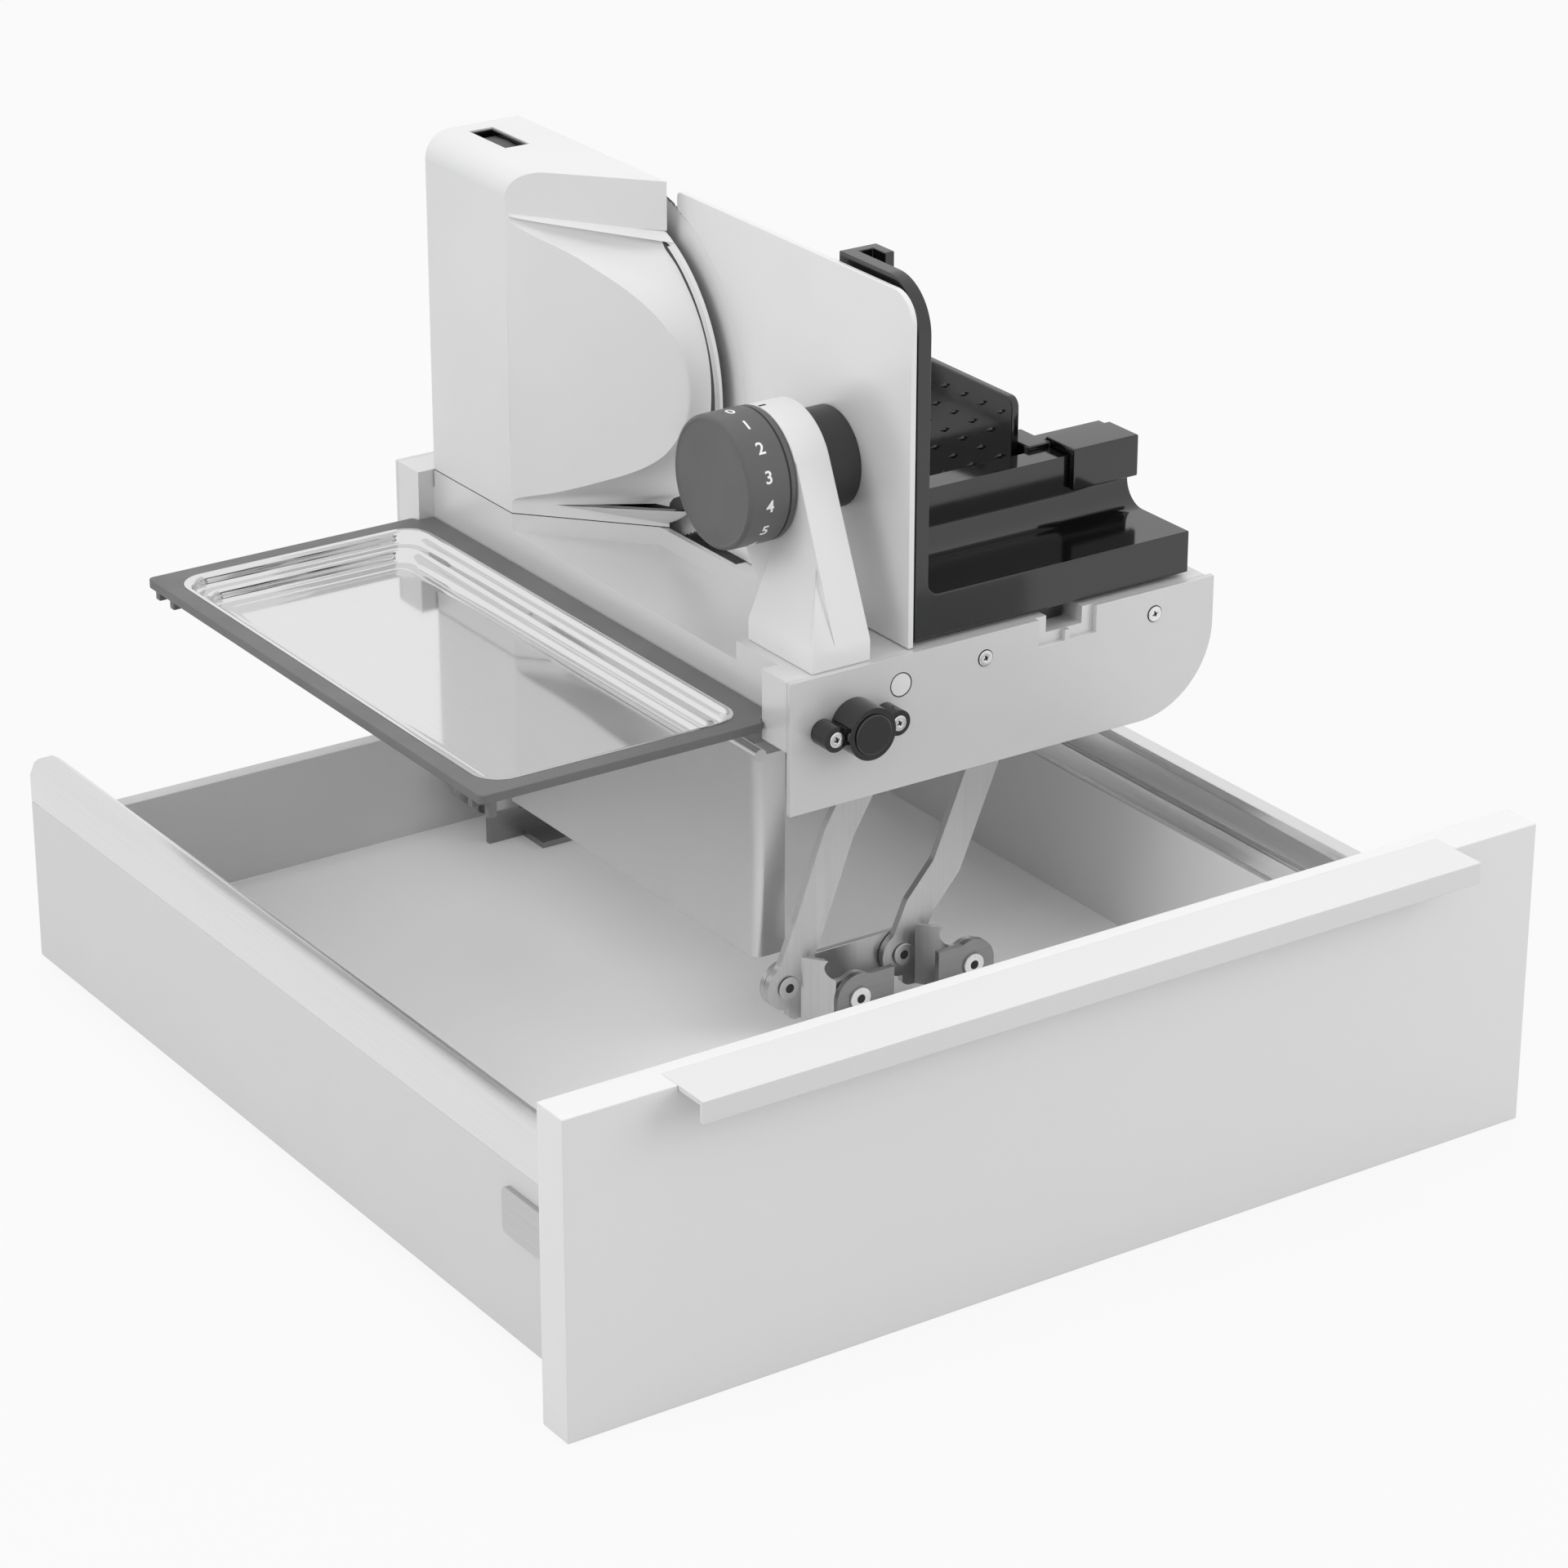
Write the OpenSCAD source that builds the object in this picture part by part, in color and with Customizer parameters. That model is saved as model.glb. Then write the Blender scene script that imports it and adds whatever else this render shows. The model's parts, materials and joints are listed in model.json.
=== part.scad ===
/* [Drawer] */
// Width of the drawer front, a 500 mm cabinet less the gaps
drawer_w = 496; // [396:1:596]
// Height of the drawer front
front_h = 144; // [140:1:190]
// Thickness of the drawer front
front_t = 19; // [16:0.5:22]
// Distance from the front face to the back of the drawer
drawer_d = 508; // [480:1:560]
// Distance of each drawer side from the end of the front
side_inset = 21.5; // [15:0.5:26]
// Thickness of each double drawer side
side_t = 30.5; // [26:0.5:34]
// Height of the underside of the drawer sides
side_z = 5; // [3:0.5:8]
// Height of the top of the double side below its rail cap
side_top = 84.5; // [76:0.5:92]
// Thickness of the steel skins of the drawer side
skin_t = 1.6; // [1.2:0.1:2.5]
// Height of the ridge of the rail cap
cap_top = 105; // [98:0.5:112]
// Height of the outer band of the rail cap
cap_band = 98; // [92:0.5:100]
// Height of the inner shoulder of the rail cap
cap_shoulder = 93; // [88:0.5:96]
// Height of the inner foot of the rail cap
cap_foot = 87; // [85:0.5:90]
// Width of the rounded rail on top of the side
cap_w = 18.5; // [15:0.5:24]
// Width of the flat ridge of the rail
cap_ridge_w = 7; // [4:0.5:10]
// Set-in of the rail's outer chamfer
cap_chamfer = 2.5; // [1.5:0.5:4]
// Width of the dark seam between rail and inner skin
seam_w = 3.4; // [2:0.2:5]
// Depth of that seam
seam_d = 3; // [1:0.5:4]
// Top of the drawer floor
floor_top = 20.5; // [16:0.5:24]
// Thickness of the drawer floor board
floor_t = 15.5; // [12:0.5:16]
// Top of the low drawer back
back_top = 74.6; // [60:0.2:80]
// Thickness of the drawer back
back_t = 8.6; // [8:0.2:16]
// Depth of the floor's groove in the front
floor_groove = 4; // [3:0.5:6]
// First and last place of the pull along the front, from its end
pull_inset = 53; // [20:1:80]
// Distance of the right end of the pull from the front's right end
pull_inset_right = 47; // [20:1:80]
// Reach of the pull in front of the drawer front
pull_reach = 17.5; // [12:0.5:22]
// Height of the pull's turned-down lip
pull_lip = 10; // [6:0.5:16]
// Thickness of the pull profile
pull_t = 2.5; // [1.5:0.1:3]
// Depth of the pull's seat in the top of the front
pull_seat = 12; // [8:0.5:16]
// Depth of the anchor leg of the pull in the front
pull_leg = 9; // [6:0.5:14]
// Reach of the front clips along the drawer side
clip_reach = 60; // [40:1:80]
// Underside of the front clips
clip_z = 54; // [40:1:60]
// Height of the front clips
clip_h = 21; // [16:1:30]
// Thickness of the front clips
clip_t = 3; // [2:0.2:4]
// Radius of the clip's rear corners
clip_r = 3; // [1:0.5:6]

/* [Lift] */
// Pivot C of the left arms, from the left end of the front
pivot_x = 276.2; // [250:0.1:300]
// Height of the two fixed pivots
pivot_z = 39.7; // [38:0.1:45]
// Distance between the left and the right pivots
pivot_gap = 62.8; // [55:0.1:75]
// Place of pivot A on the left arm, left of the fixed pivot
crank_x = 27.5; // [24:0.1:32]
// Height of pivot A above the fixed pivot
crank_z = 5.9; // [3:0.1:9]
// Upper pivot of the left arm, right of the fixed pivot
top_x = 35.8; // [25:0.1:45]
// Height of the upper pivot above the fixed pivot
top_z = 136.3; // [125:0.1:145]
// Front face of the front base bracket
base_y = 196.5; // [190:0.5:200]
// Distance from the front linkage to the rear one
rear_shift = 272; // [260:1:275]
// Thickness of the base bracket
base_t = 3; // [2.5:0.1:4]
// Depth of the base bracket's foot on the floor
base_foot = 22; // [14:1:30]
// Radius of the lobes round the fixed pivots
base_lobe_r = 12; // [10:0.5:14]
// Width of the flat shoulder beside each lobe
base_shoulder = 19; // [12:0.5:24]
// Height of the bracket between its lobes, above the floor
base_web = 13.5; // [10:0.5:18]
// Reach of the rear bracket's plate left of its pivot
base_rear_reach = 31; // [20:1:34]
// Height of the rear bracket's plain plate
base_rear_h = 15; // [10:0.5:18]
// Gap between the base bracket and the arm foot
foot_gap = 0.5; // [0.3:0.1:1]
// Thickness of the arms
arm_t = 3.5; // [3:0.1:5]
// Distance of the arms behind the front face of the bracket
arm_back = 16.5; // [14:0.5:20]
// Width of the arms
arm_w = 17; // [12:0.5:20]
// Radius of the arm's lobe at pivot A and B
arm_lobe_r = 11; // [9:0.5:13]
// Radius of the arm's upper eye
arm_eye_r = 11; // [9:0.5:13]
// Right shift of the left arm's lower knee from pivot A
left_low_x = 11.5; // [6:0.1:16]
// Height of the left arm's lower knee above pivot A
left_low_z = 27; // [20:0.1:34]
// Right shift of the left arm's upper knee from pivot A
left_high_x = 27.3; // [20:0.1:34]
// Height of the left arm's upper knee above pivot A
left_high_z = 69; // [60:0.1:80]
// Right shift of the right arm's first knee from pivot B
right_low_x = 9.5; // [5:0.1:14]
// Height of the right arm's first knee above pivot B
right_low_z = 21.5; // [15:0.1:28]
// Right shift of the right arm's second knee from pivot B
right_mid_x = 24; // [18:0.1:30]
// Height of the right arm's second knee above pivot B
right_mid_z = 38; // [30:0.1:45]
// Start of the joggle, right of pivot A
joggle_a = 7; // [4:0.5:10]
// End of the joggle, right of pivot A
joggle_b = 17; // [14:0.5:22]
// Height of the joggled foot
joggle_h = 18; // [14:0.5:22]
// radius of the bends along an arm's edges
bend_r = 6; // [2:1:8]
// how far the arm's joggled foot reaches above its low pivot
foot_rise = 13; // [10:1:16]
// Radius of the lift's pivot pins
pin_r = 3.5; // [3:0.1:5]
// Running clearance of the pivots
pivot_fit = 0.06; // [0.02:0.01:0.1]
// Clearance at the pivots where the loop is opened
open_fit = 0.4; // [0.2:0.1:0.6]
// Radius of the pin heads
head_r = 5.4; // [4:0.1:7]
// Thickness of the pin heads
head_t = 1.5; // [1:0.1:2.5]
// Radius of the dark hole in the pin heads
head_hole = 1.9; // [1:0.1:2.5]
// Thickness of the coupling link
link_t = 3; // [2:0.1:4]
// Radius of the link's ends
link_r = 11; // [9:0.5:13]

/* [Base] */
// Left end of the side plates
plate_x = 232.6; // [228:0.2:240]
// Length of the side plates
plate_l = 232.4; // [220:0.2:245]
// Underside of the side plates
plate_z = 142.3; // [136:0.1:150]
// Top of the deck and side plates
deck_z = 205; // [200:0.5:212]
// Front face of the front side plate
plate_y = 188; // [180:0.5:192]
// Length of the slicer along the carriage
slicer_l = 340; // [320:1:360]
// Thickness of the side plates
plate_t = 3; // [2:0.1:4]
// Radius of the side plate's lower right corner
plate_r = 41; // [30:1:50]
// Depth of the side plate's turned-in top
plate_flange = 14; // [8:0.5:20]
// Place of the rail notch from the left end of the plate
notch_x = 133.4; // [120:0.2:150]
// Width of the rail notch
notch_w = 32; // [26:0.5:40]
// Depth of the rail notch
notch_d = 13; // [9:0.5:16]
// Thickness of the deck casting
deck_t = 3; // [2.5:0.1:4]
// Set-in of the deck's left wall behind the plate's end
deck_inset = 8.4; // [6:0.2:12]
// Depth of the deck's walls
deck_wall = 29; // [24:0.5:34]
// Length of the front corner block
block_l = 19; // [14:0.5:24]
// Depth of the front corner block
block_h = 33; // [28:0.5:38]
// Depth of the rear corner block
block_rear_h = 58; // [40:0.5:62]
// Rounding of the corner blocks
block_r = 2; // [1:0.5:3]
// Half width of the carriage groove in the deck
groove_half = 10; // [7:0.5:12]
// Depth of the carriage groove
groove_d = 8; // [6:0.5:10]
// Height of the tray ledge on the deck's left wall
ledge_h = 4; // [3:0.5:6]
// Reach of the tray ledge
ledge_w = 6; // [4:0.5:8]
// Thickness of the cheeks that hold the upper pivots
cheek_t = 3; // [2.5:0.1:4]
// Gap between an arm and a cheek
cheek_gap = 1.5; // [0.5:0.1:3]
// Depth of the cheeks under the deck
cheek_h = 34; // [30:0.5:40]
// Reach of the cheeks past the pivots
cheek_reach = 14; // [10:0.5:18]
// Left face of the hanging skirt
skirt_x = 243; // [241:0.5:248]
// Underside of the hanging skirt
skirt_z = 54; // [50:0.5:60]
// Top of the hanging skirt's hem
skirt_top = 153; // [148:0.5:160]
// Front of the hanging skirt
skirt_y = 231; // [226:0.5:236]
// Length of the hanging skirt
skirt_l = 215; // [190:1:217]
// Thickness of the skirt's sheet
skirt_t = 1.5; // [1:0.1:2]
// Width of the skirt's front and rear returns
skirt_return = 16; // [10:0.5:20]
// Radius of the skirt's bends
skirt_r = 5; // [3:0.5:7]
// Radius of the skirt's rolled hem
hem_r = 3; // [2:0.2:4]
// Width of the skirt's hanger straps
strap_w = 24; // [16:1:40]
// Radius of the side plate's screws
screw_r = 3.6; // [3:0.1:4.5]
// Height of the screw heads
screw_h = 0.8; // [0.5:0.1:1.2]
// Radius of the screw shanks
shank_r = 1.8; // [1.5:0.1:2.2]
// Length of the screw shanks
shank_l = 7; // [4:0.5:10]
// First plate screw from the left end of the plate
screw_a = 104; // [90:0.5:110]
// Second plate screw from the left end of the plate
screw_b = 198.5; // [180:0.5:210]
// Depth of the plate screws under the deck
screw_down = 11.3; // [9:0.1:13]
// Place of the round fold pin from the left end of the plate
cap_x = 58.4; // [50:0.2:66]
// Depth of the fold pin under the deck
cap_down = 13.5; // [11:0.1:15]
// Radius of the fold pin
cap_pin_r = 5.4; // [4:0.1:6.5]

// Depth of the sunk area between the arm and the tower
sink_d = 9; // [5:0.5:12]
// Rear of the pad that carries the upright arm
pad_y = 243; // [236:0.5:250]

/* [Release button] */
// Place of the button from the left end of the plate
button_x = 33.2; // [26:0.2:40]
// Depth of the button under the deck
button_down = 25.8; // [20:0.2:30]
// Outer radius of the button housing
button_case_r = 12.2; // [10:0.2:14]
// Reach of the button housing in front of the plate
button_case_l = 15; // [10:0.5:18]
// Radius of the button
button_r = 9.4; // [8:0.2:11]
// Reach of the button in front of its housing
button_proud = 1.2; // [0.5:0.1:3]
// Travel of the button
button_travel = 3; // [2:0.5:4]
// Distance of the housing's screws from the button
ear_x = 16.6; // [14:0.2:20]
// Radius of the housing's ears
ear_r = 6; // [5:0.2:7]
// Thickness of the housing's ears
ear_l = 11; // [7:0.5:12]
// Radius of the button's return spring
spring_r = 6; // [4:0.2:7]
// Radius of the spring's wire
wire_r = 0.6; // [0.4:0.1:0.9]
// Turns of the spring
spring_turns = 3; // [2:1:4]
// Length of the spring at rest
spring_l = 6.5; // [5:0.5:7]
// Wall behind the spring
button_wall = 1.5; // [1:0.1:2]

/* [Housing] */
// Left face of the housing tower
tower_x = 241; // [236:0.5:246]
// Right face of the housing tower
tower_right = 292; // [286:0.5:294]
// Front of the tower's flat left face
tower_edge = 433; // [420:0.5:445]
// Front of the tower's ledges at the blade
tower_nose = 376; // [365:0.5:385]
// Rear of the tower
tower_rear = 505; // [495:0.5:515]
// Top of the tower
tower_top = 372; // [360:0.5:385]
// Rounding of the tower's edges
tower_r = 13; // [8:0.5:16]
// Rounding of the tower's upright edge
tower_er = 5; // [3:0.5:8]
// Height of the lower ledge
ledge_low = 14; // [8:0.5:20]
// Height of the upper ledge
ledge_high = 23; // [16:0.5:28]
// Wall of the tower
tower_wall = 2.6; // [2:0.1:4]
// Radius of the cone at the blade
cone_r = 76.7; // [70:0.1:80]
// Thickness of the rim round the oblique face and the blade guard
face_rim = 1; // [0.5:0.1:2]
// Outline of the oblique face: share of its length, share of the cone's radius from the axis
face_shares = [[0.02, 0.94], [0.37, 0.69], [0.69, 0.48], [0.92, 0.257], [0.98, -0.03],
  [0.94, -0.35], [0.777, -0.6], [0.354, -0.74], [0.03, -0.838]];
// Front of the flat oblique face near the blade
face_nose = 344; // [335:0.5:350]
// Place of that point left of the tower's right face
face_back = 12; // [8:0.5:16]
// Height of the blade's axis
axis_z = 277.8; // [270:0.1:285]
// Place of the blade's axis along the carriage
axis_y = 407; // [400:0.5:415]
// Thickness of the housing's inner cover
cover_t = 1.6; // [1.2:0.1:2.5]
// Play between the cover and the tower's shell
cover_gap = 0.5; // [0.3:0.1:1]
// Place of the switch pocket from the tower's left face
pocket_x = 18; // [14:0.5:22]
// Width of the switch pocket
pocket_w = 13; // [10:0.5:16]
// Front of the switch pocket from the tower's rear
pocket_y = 43; // [36:0.5:50]
// Length of the switch pocket
pocket_l = 33; // [26:0.5:40]
// Depth of the switch pocket
pocket_d = 6; // [4:0.5:8]
// Wall of the switch bezel
bezel_t = 1.4; // [1:0.1:2]
// Radius of the switch rocker's pivot
rocker_pin = 1.4; // [1:0.1:2]
// Height of the rocker's middle
rocker_h = 3.4; // [2.5:0.1:5]
// Running clearance of the rocker
rocker_fit = 0.5; // [0.3:0.1:0.8]
// Radius of the rocker's two axle stubs
stub_r = 0.9; // [0.7:0.05:1.1]

/* [Drive] */
// Radius of the blade
blade_r = 85; // [80:0.5:95]
// Right face of the blade
blade_x = 300; // [298:0.1:301]
// Thickness of the blade's disc
blade_t = 1.2; // [1:0.1:2]
// Depth of the blade's dish
blade_dish = 4; // [2:0.2:6]
// Radius of the blade's flat middle
blade_hub = 42; // [30:1:60]
// Number of serrations
teeth = 60; // [36:6:96]
// Depth of the serrations
tooth_d = 1.2; // [0.6:0.1:2]
// Radius of the blade's shaft
shaft_r = 6; // [5:0.1:8]
// Radius of the bearing
bearing_r = 13; // [11:0.5:16]
// Width of the bearing
bearing_w = 8; // [6:0.5:12]
// Radius of the drive wheel
wheel_r = 24; // [18:0.5:30]
// Width of the drive wheel
wheel_w = 8; // [6:0.5:12]
// Number of teeth on the drive wheel
wheel_teeth = 30; // [20:1:40]
// Place of the drive wheel left of the tower's right face
wheel_back = 22; // [18:0.5:26]
// Radius of the worm
worm_r = 5; // [4:0.1:7]
// Gap between the worm and the wheel
mesh_gap = 0.5; // [0.3:0.1:0.8]
// Length of the worm
worm_l = 30; // [20:1:40]
// Radius of the motor shaft
rotor_r = 2.5; // [2:0.1:4]
// Radius of the motor
motor_r = 16; // [12:0.5:17]
// Length of the motor
motor_l = 44; // [36:0.5:56]
// Place of the motor behind the tower's upright edge
motor_gap = 6; // [4:0.5:10]
// Running clearance of shafts
shaft_fit = 0.05; // [0.02:0.01:0.1]

/* [Thickness dial] */
// Place of the dial's axis along the carriage
dial_y = 251; // [245:0.5:258]
// Face of the dial
dial_x = 233.6; // [230:0.2:238]
// Radius of the dial
dial_r = 30.4; // [26:0.2:34]
// Width of the dial
dial_w = 24.6; // [18:0.2:28]
// Rounding of the dial's face
dial_edge = 1.5; // [0.5:0.1:3]
// Left face of the upright arm's head
post_x = 259; // [255:0.5:264]
// Right face of the upright arm
post_right = 277; // [272:0.5:282]
// Radius of the upright arm's head
post_r = 30; // [27:0.5:33]
// Front of the upright arm's foot
post_y = 191.3; // [190:0.1:196]
// Length of the upright arm's foot
post_l = 50; // [40:1:60]
// Left face of the upright arm's foot
post_foot_x = 246; // [242:0.5:250]
// Height of the upright arm's foot
post_foot_h = 10; // [6:0.5:16]
// Height at which the foot has narrowed
post_slim_h = 40; // [30:1:42]
// Wall at the closed end of the arm's bore
post_wall = 1.5; // [1.2:0.1:3]
// Radius of the stop plate's black guide
boss_r = 23; // [20:0.5:25]
// Length of the guide inside the arm at rest
boss_in = 4; // [3:0.2:6]
// Travel of the stop plate
stop_travel = 12; // [8:0.5:14]
// Radius of the dial's spindle
spindle_r = 5; // [4:0.1:7]
// Reach of the spindle into the guide
spindle_in = 6; // [3:0.5:7]
// Running clearance of the guide
guide_fit = 0.08; // [0.03:0.01:0.1]
// Play of the spindle's nose in the guide
nose_gap = 0.5; // [0.3:0.1:1]

/* [Stop plate] */
// Left face of the stop plate
stop_x = 297.2; // [295:0.1:299]
// Thickness of the stop plate
stop_t = 2.8; // [2:0.1:4]
// Front of the stop plate
stop_y = 191.6; // [190:0.1:196]
// Top of the stop plate
stop_top = 367; // [355:0.5:380]
// Radius of the stop plate's upper front corner
stop_r = 24; // [16:0.5:30]
// Gap between the stop plate and the deck
stop_gap = 0.4; // [0.3:0.1:0.8]
// Gap between the blade and the stop plate
blade_gap = 1.4; // [1:0.1:2.5]
// Rear end of the plate's foot: share of the blade's radius before its axis
foot_share = 0.55; // [0.5:0.01:0.9]

/* [Carriage] */
// Left face of the carriage
car_x = 302.4; // [301:0.1:305]
// Right end of the carriage
car_right = 454.3; // [440:0.1:462]
// Front of the carriage
car_y = 194; // [192:0.5:200]
// Length of the carriage
car_l = 200; // [180:1:215]
// Gap between the carriage and the deck
car_gap = 2; // [1:0.1:3]
// Top of the hand rest
rest_z = 226.8; // [220:0.2:232]
// Thickness of the guard wall
guard_t = 7; // [5:0.2:9]
// Top of the guard wall
guard_top = 370; // [360:0.5:380]
// Rounding between the guard wall and the hand rest
guard_fillet = 6; // [3:0.5:8]
// radius of the hollow between the slice rest and the rail behind it
cove_r = 12; // [4:1:12]
// Front of the rail for the food pusher
rail_y = 240; // [236:0.5:246]
// Width of the rail
rail_w = 14; // [10:0.5:18]
// Top of the rail
rail_top = 256; // [250:0.5:262]
// Right end of the guard's hooked post
hook_x = 322; // [316:0.5:328]
// Wall of the hooked post
hook_t = 5; // [3:0.2:6]
// Reach of the hook back towards the hand
hook_y = 14; // [10:0.5:20]
// Width of the food table's strip under the pusher
table_t = 4; // [3:0.2:6]
// Half width of the carriage's keel
keel_half = 8; // [5:0.2:9]
// Depth of the carriage's keel
keel_d = 7.7; // [5:0.1:9]
// Travel of the carriage
car_travel = 128; // [100:1:135]

/* [Food pusher] */
// Left face of the spiked plate
push_x = 404; // [395:0.5:410]
// Thickness of the spiked plate
push_t = 4; // [3:0.2:6]
// Front of the spiked plate
push_y = 262; // [258:0.5:268]
// Length of the spiked plate
push_l = 112; // [90:1:125]
// Top of the spiked plate
push_top = 280; // [270:0.5:300]
// Radius of the plate's corners
push_r = 5; // [3:0.5:8]
// Length of the spikes
spike_l = 3; // [2:0.2:5]
// Radius of the spikes at their foot
spike_r = 1.3; // [0.8:0.1:2]
// Distance between spikes
spike_gap = 14.4; // [10:0.2:20]
// Place of the first spike: share of the spikes' distance
row_share = 0.6; // [0.4:0.05:0.8]
// Height between the rows of spikes: share of the spikes' distance
rise_share = 0.75; // [0.6:0.05:0.9]
// Left end of the grip block
grip_x = 420; // [414:0.5:426]
// Length of the grip block
grip_l = 37; // [30:0.5:42]
// Front of the grip block
grip_y = 236; // [232:0.5:239]
// Width of the grip block
grip_w = 22; // [19:0.5:26]
// Underside of the grip block's front
grip_z = 240; // [236:0.5:246]
// Top of the grip block
grip_top = 260; // [258:0.5:266]
// Running clearance of the grip on its rail
grip_fit = 0.3; // [0.1:0.05:0.5]
// Travel of the pusher
push_travel = 78; // [50:1:80]

/* [Tray] */
// Left edge of the tray
tray_x = 88.4; // [80:0.2:110]
// Top of the tray
tray_z = 181; // [178:0.5:190]
// Front edge of the tray
tray_y = 207; // [200:0.5:212]
// Rear edge of the tray
tray_rear = 510; // [500:0.5:515]
// Thickness of the tray's frame
frame_t = 4.4; // [3:0.2:7]
// Width of the tray's frame
frame_w = 9; // [6:0.5:14]
// Radius of the frame's outer corners
frame_r = 3; // [2:0.5:8]
// Gap between the tray's tongue and the deck
tongue_gap = 0.5; // [0.3:0.1:1]
// Drop of the frame's small feet
foot_drop = 7; // [4:0.5:10]
// Width of the frame's small feet
foot_w = 4; // [3:0.5:6]
// Distance between the two small feet of a corner
foot_pitch = 14; // [10:0.5:20]
// Depth of the pan
pan_d = 13; // [8:0.5:18]
// Width of the step in the pan's rim
pan_step = 6; // [3:0.5:9]
// Depth of the step in the pan's rim
pan_step_d = 4; // [2:0.5:6]
// Thickness of the pan
pan_t = 0.8; // [0.6:0.1:1.2]
// Corner radius of the pan
pan_r = 14; // [8:0.5:24]

/* [Hidden] */
over = 1;
slicer_rear = plate_y + slicer_l;
origin_x = drawer_w / 2;
origin_y = (slicer_rear + screw_h - pull_reach) / 2;
inner_l = side_inset + side_t;
inner_r = drawer_w - inner_l;
arm_y = base_y + arm_back;
foot_y = base_y + base_t + foot_gap;
link_y = arm_y + arm_t + foot_gap;
a_x = pivot_x - crank_x;
a_z = pivot_z + crank_z;
u_x = pivot_x + top_x;
u_z = pivot_z + top_z;
deck_x = plate_x + deck_inset;
under_z = deck_z - sink_d - deck_t;
worm_z = axis_z + wheel_r + worm_r + mesh_gap;
motor_y = tower_edge + motor_gap;
plate_right = plate_x + plate_l;
groove_x = plate_x + notch_x + notch_w / 2;
tray_tongue = deck_x - tongue_gap;
wheel_x = tower_right - wheel_back;
steel = [0.66, 0.67, 0.69];
dark = [0.11, 0.11, 0.12];
silver = [0.80, 0.81, 0.83];
light = [0.88, 0.88, 0.89];

module seat() translate([-origin_x, -origin_y, 0]) children();
module box(x0, x1, y0, y1, z0, z1) translate([x0, y0, z0]) cube([x1 - x0, y1 - y0, z1 - z0]);
module cyl_y(x, z, r, y0, y1, n = 32)
  translate([x, y0, z]) rotate([-90, 0, 0]) cylinder(h = y1 - y0, r = r, $fn = n);
module cyl_x(y, z, r, x0, x1, n = 32)
  translate([x0, y, z]) rotate([0, 90, 0]) cylinder(h = x1 - x0, r = r, $fn = n);
module along_y(y0, y1) translate([0, y1, 0]) rotate([90, 0, 0]) linear_extrude(y1 - y0) children();
module along_x(x0, x1)
  translate([x0, 0, 0]) rotate([90, 0, 90]) linear_extrude(x1 - x0) children();
module rounded(x0, x1, y0, y1, r, n = 32) {
  translate([x0 + r, y0]) square([x1 - x0 - 2 * r, y1 - y0]);
  translate([x0, y0 + r]) square([x1 - x0, y1 - y0 - 2 * r]);
  for (x = [x0 + r, x1 - r], y = [y0 + r, y1 - r]) translate([x, y]) circle(r = r, $fn = n);
}
module mirrored() translate([drawer_w, 0, 0]) mirror([1, 0, 0]) children();

module front_panel() color(light) seat() difference() {
  box(0, drawer_w, 0, front_t, 0, front_h);
  box(pull_inset, drawer_w - pull_inset_right, -over, pull_seat, front_h - pull_t, front_h + over);
  box(pull_inset, drawer_w - pull_inset_right, pull_seat - pull_t, pull_seat,
    front_h - pull_t - pull_leg, front_h);
  box(inner_l, inner_r, front_t - floor_groove, front_t + over, floor_top - floor_t, floor_top);
}
module front_pull() color(steel) seat() {
  box(pull_inset, drawer_w - pull_inset_right, -pull_reach, pull_seat, front_h - pull_t, front_h);
  box(pull_inset, drawer_w - pull_inset_right, -pull_reach, pull_t - pull_reach,
    front_h - pull_lip, front_h);
  box(pull_inset, drawer_w - pull_inset_right, pull_seat - pull_t, pull_seat,
    front_h - pull_t - pull_leg, front_h);
}
module side_body() difference() {
  box(side_inset, inner_l, front_t, drawer_d, side_z, side_top);
  box(side_inset + skin_t, inner_l - skin_t, front_t + skin_t, drawer_d + over,
    side_z + skin_t, side_top - skin_t);
}
module side_left() color(light) seat() side_body();
module side_right() color(light) seat() mirrored() side_body();
module cap_body() along_y(front_t, drawer_d) difference() {
  polygon([[side_inset, side_top], [side_inset, cap_band],
    [side_inset + cap_chamfer, cap_top - cap_chamfer / 2],
    [side_inset + 2 * cap_chamfer, cap_top], [side_inset + 2 * cap_chamfer + cap_ridge_w, cap_top],
    [side_inset + cap_w - cap_chamfer, cap_top - cap_chamfer], [side_inset + cap_w, cap_shoulder],
    [inner_l - cap_chamfer, cap_foot + cap_chamfer / 2], [inner_l, cap_foot], [inner_l, side_top]]);
  translate([side_inset + cap_w, cap_shoulder - seam_d])
    square([seam_w, seam_d + over]);
}
module cap_left() color(steel) seat() cap_body();
module cap_right() color(steel) seat() mirrored() cap_body();
module drawer_floor() color(light) seat() difference() {
  box(inner_l, inner_r, front_t - floor_groove, drawer_d - back_t, floor_top - floor_t, floor_top);
  for (s = [0, rear_shift], d = [1, 3])
    translate([pivot_x + pivot_gap * d / 4, base_y + base_t - base_foot / 2 - base_t + s,
      floor_top + base_t - shank_l]) cylinder(h = shank_l, r = shank_r, $fn = 24);
}
module drawer_back() color(light) seat()
  box(inner_l, inner_r, drawer_d - back_t, drawer_d, side_z, back_top);
module clip_body() translate([side_inset - clip_t, 0, 0]) along_x(0, clip_t)
  rounded(front_t, front_t + clip_reach, clip_z, clip_z + clip_h, clip_r);
module front_clips() color(steel) seat() {
  clip_body();
  mirrored() clip_body();
}

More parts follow.
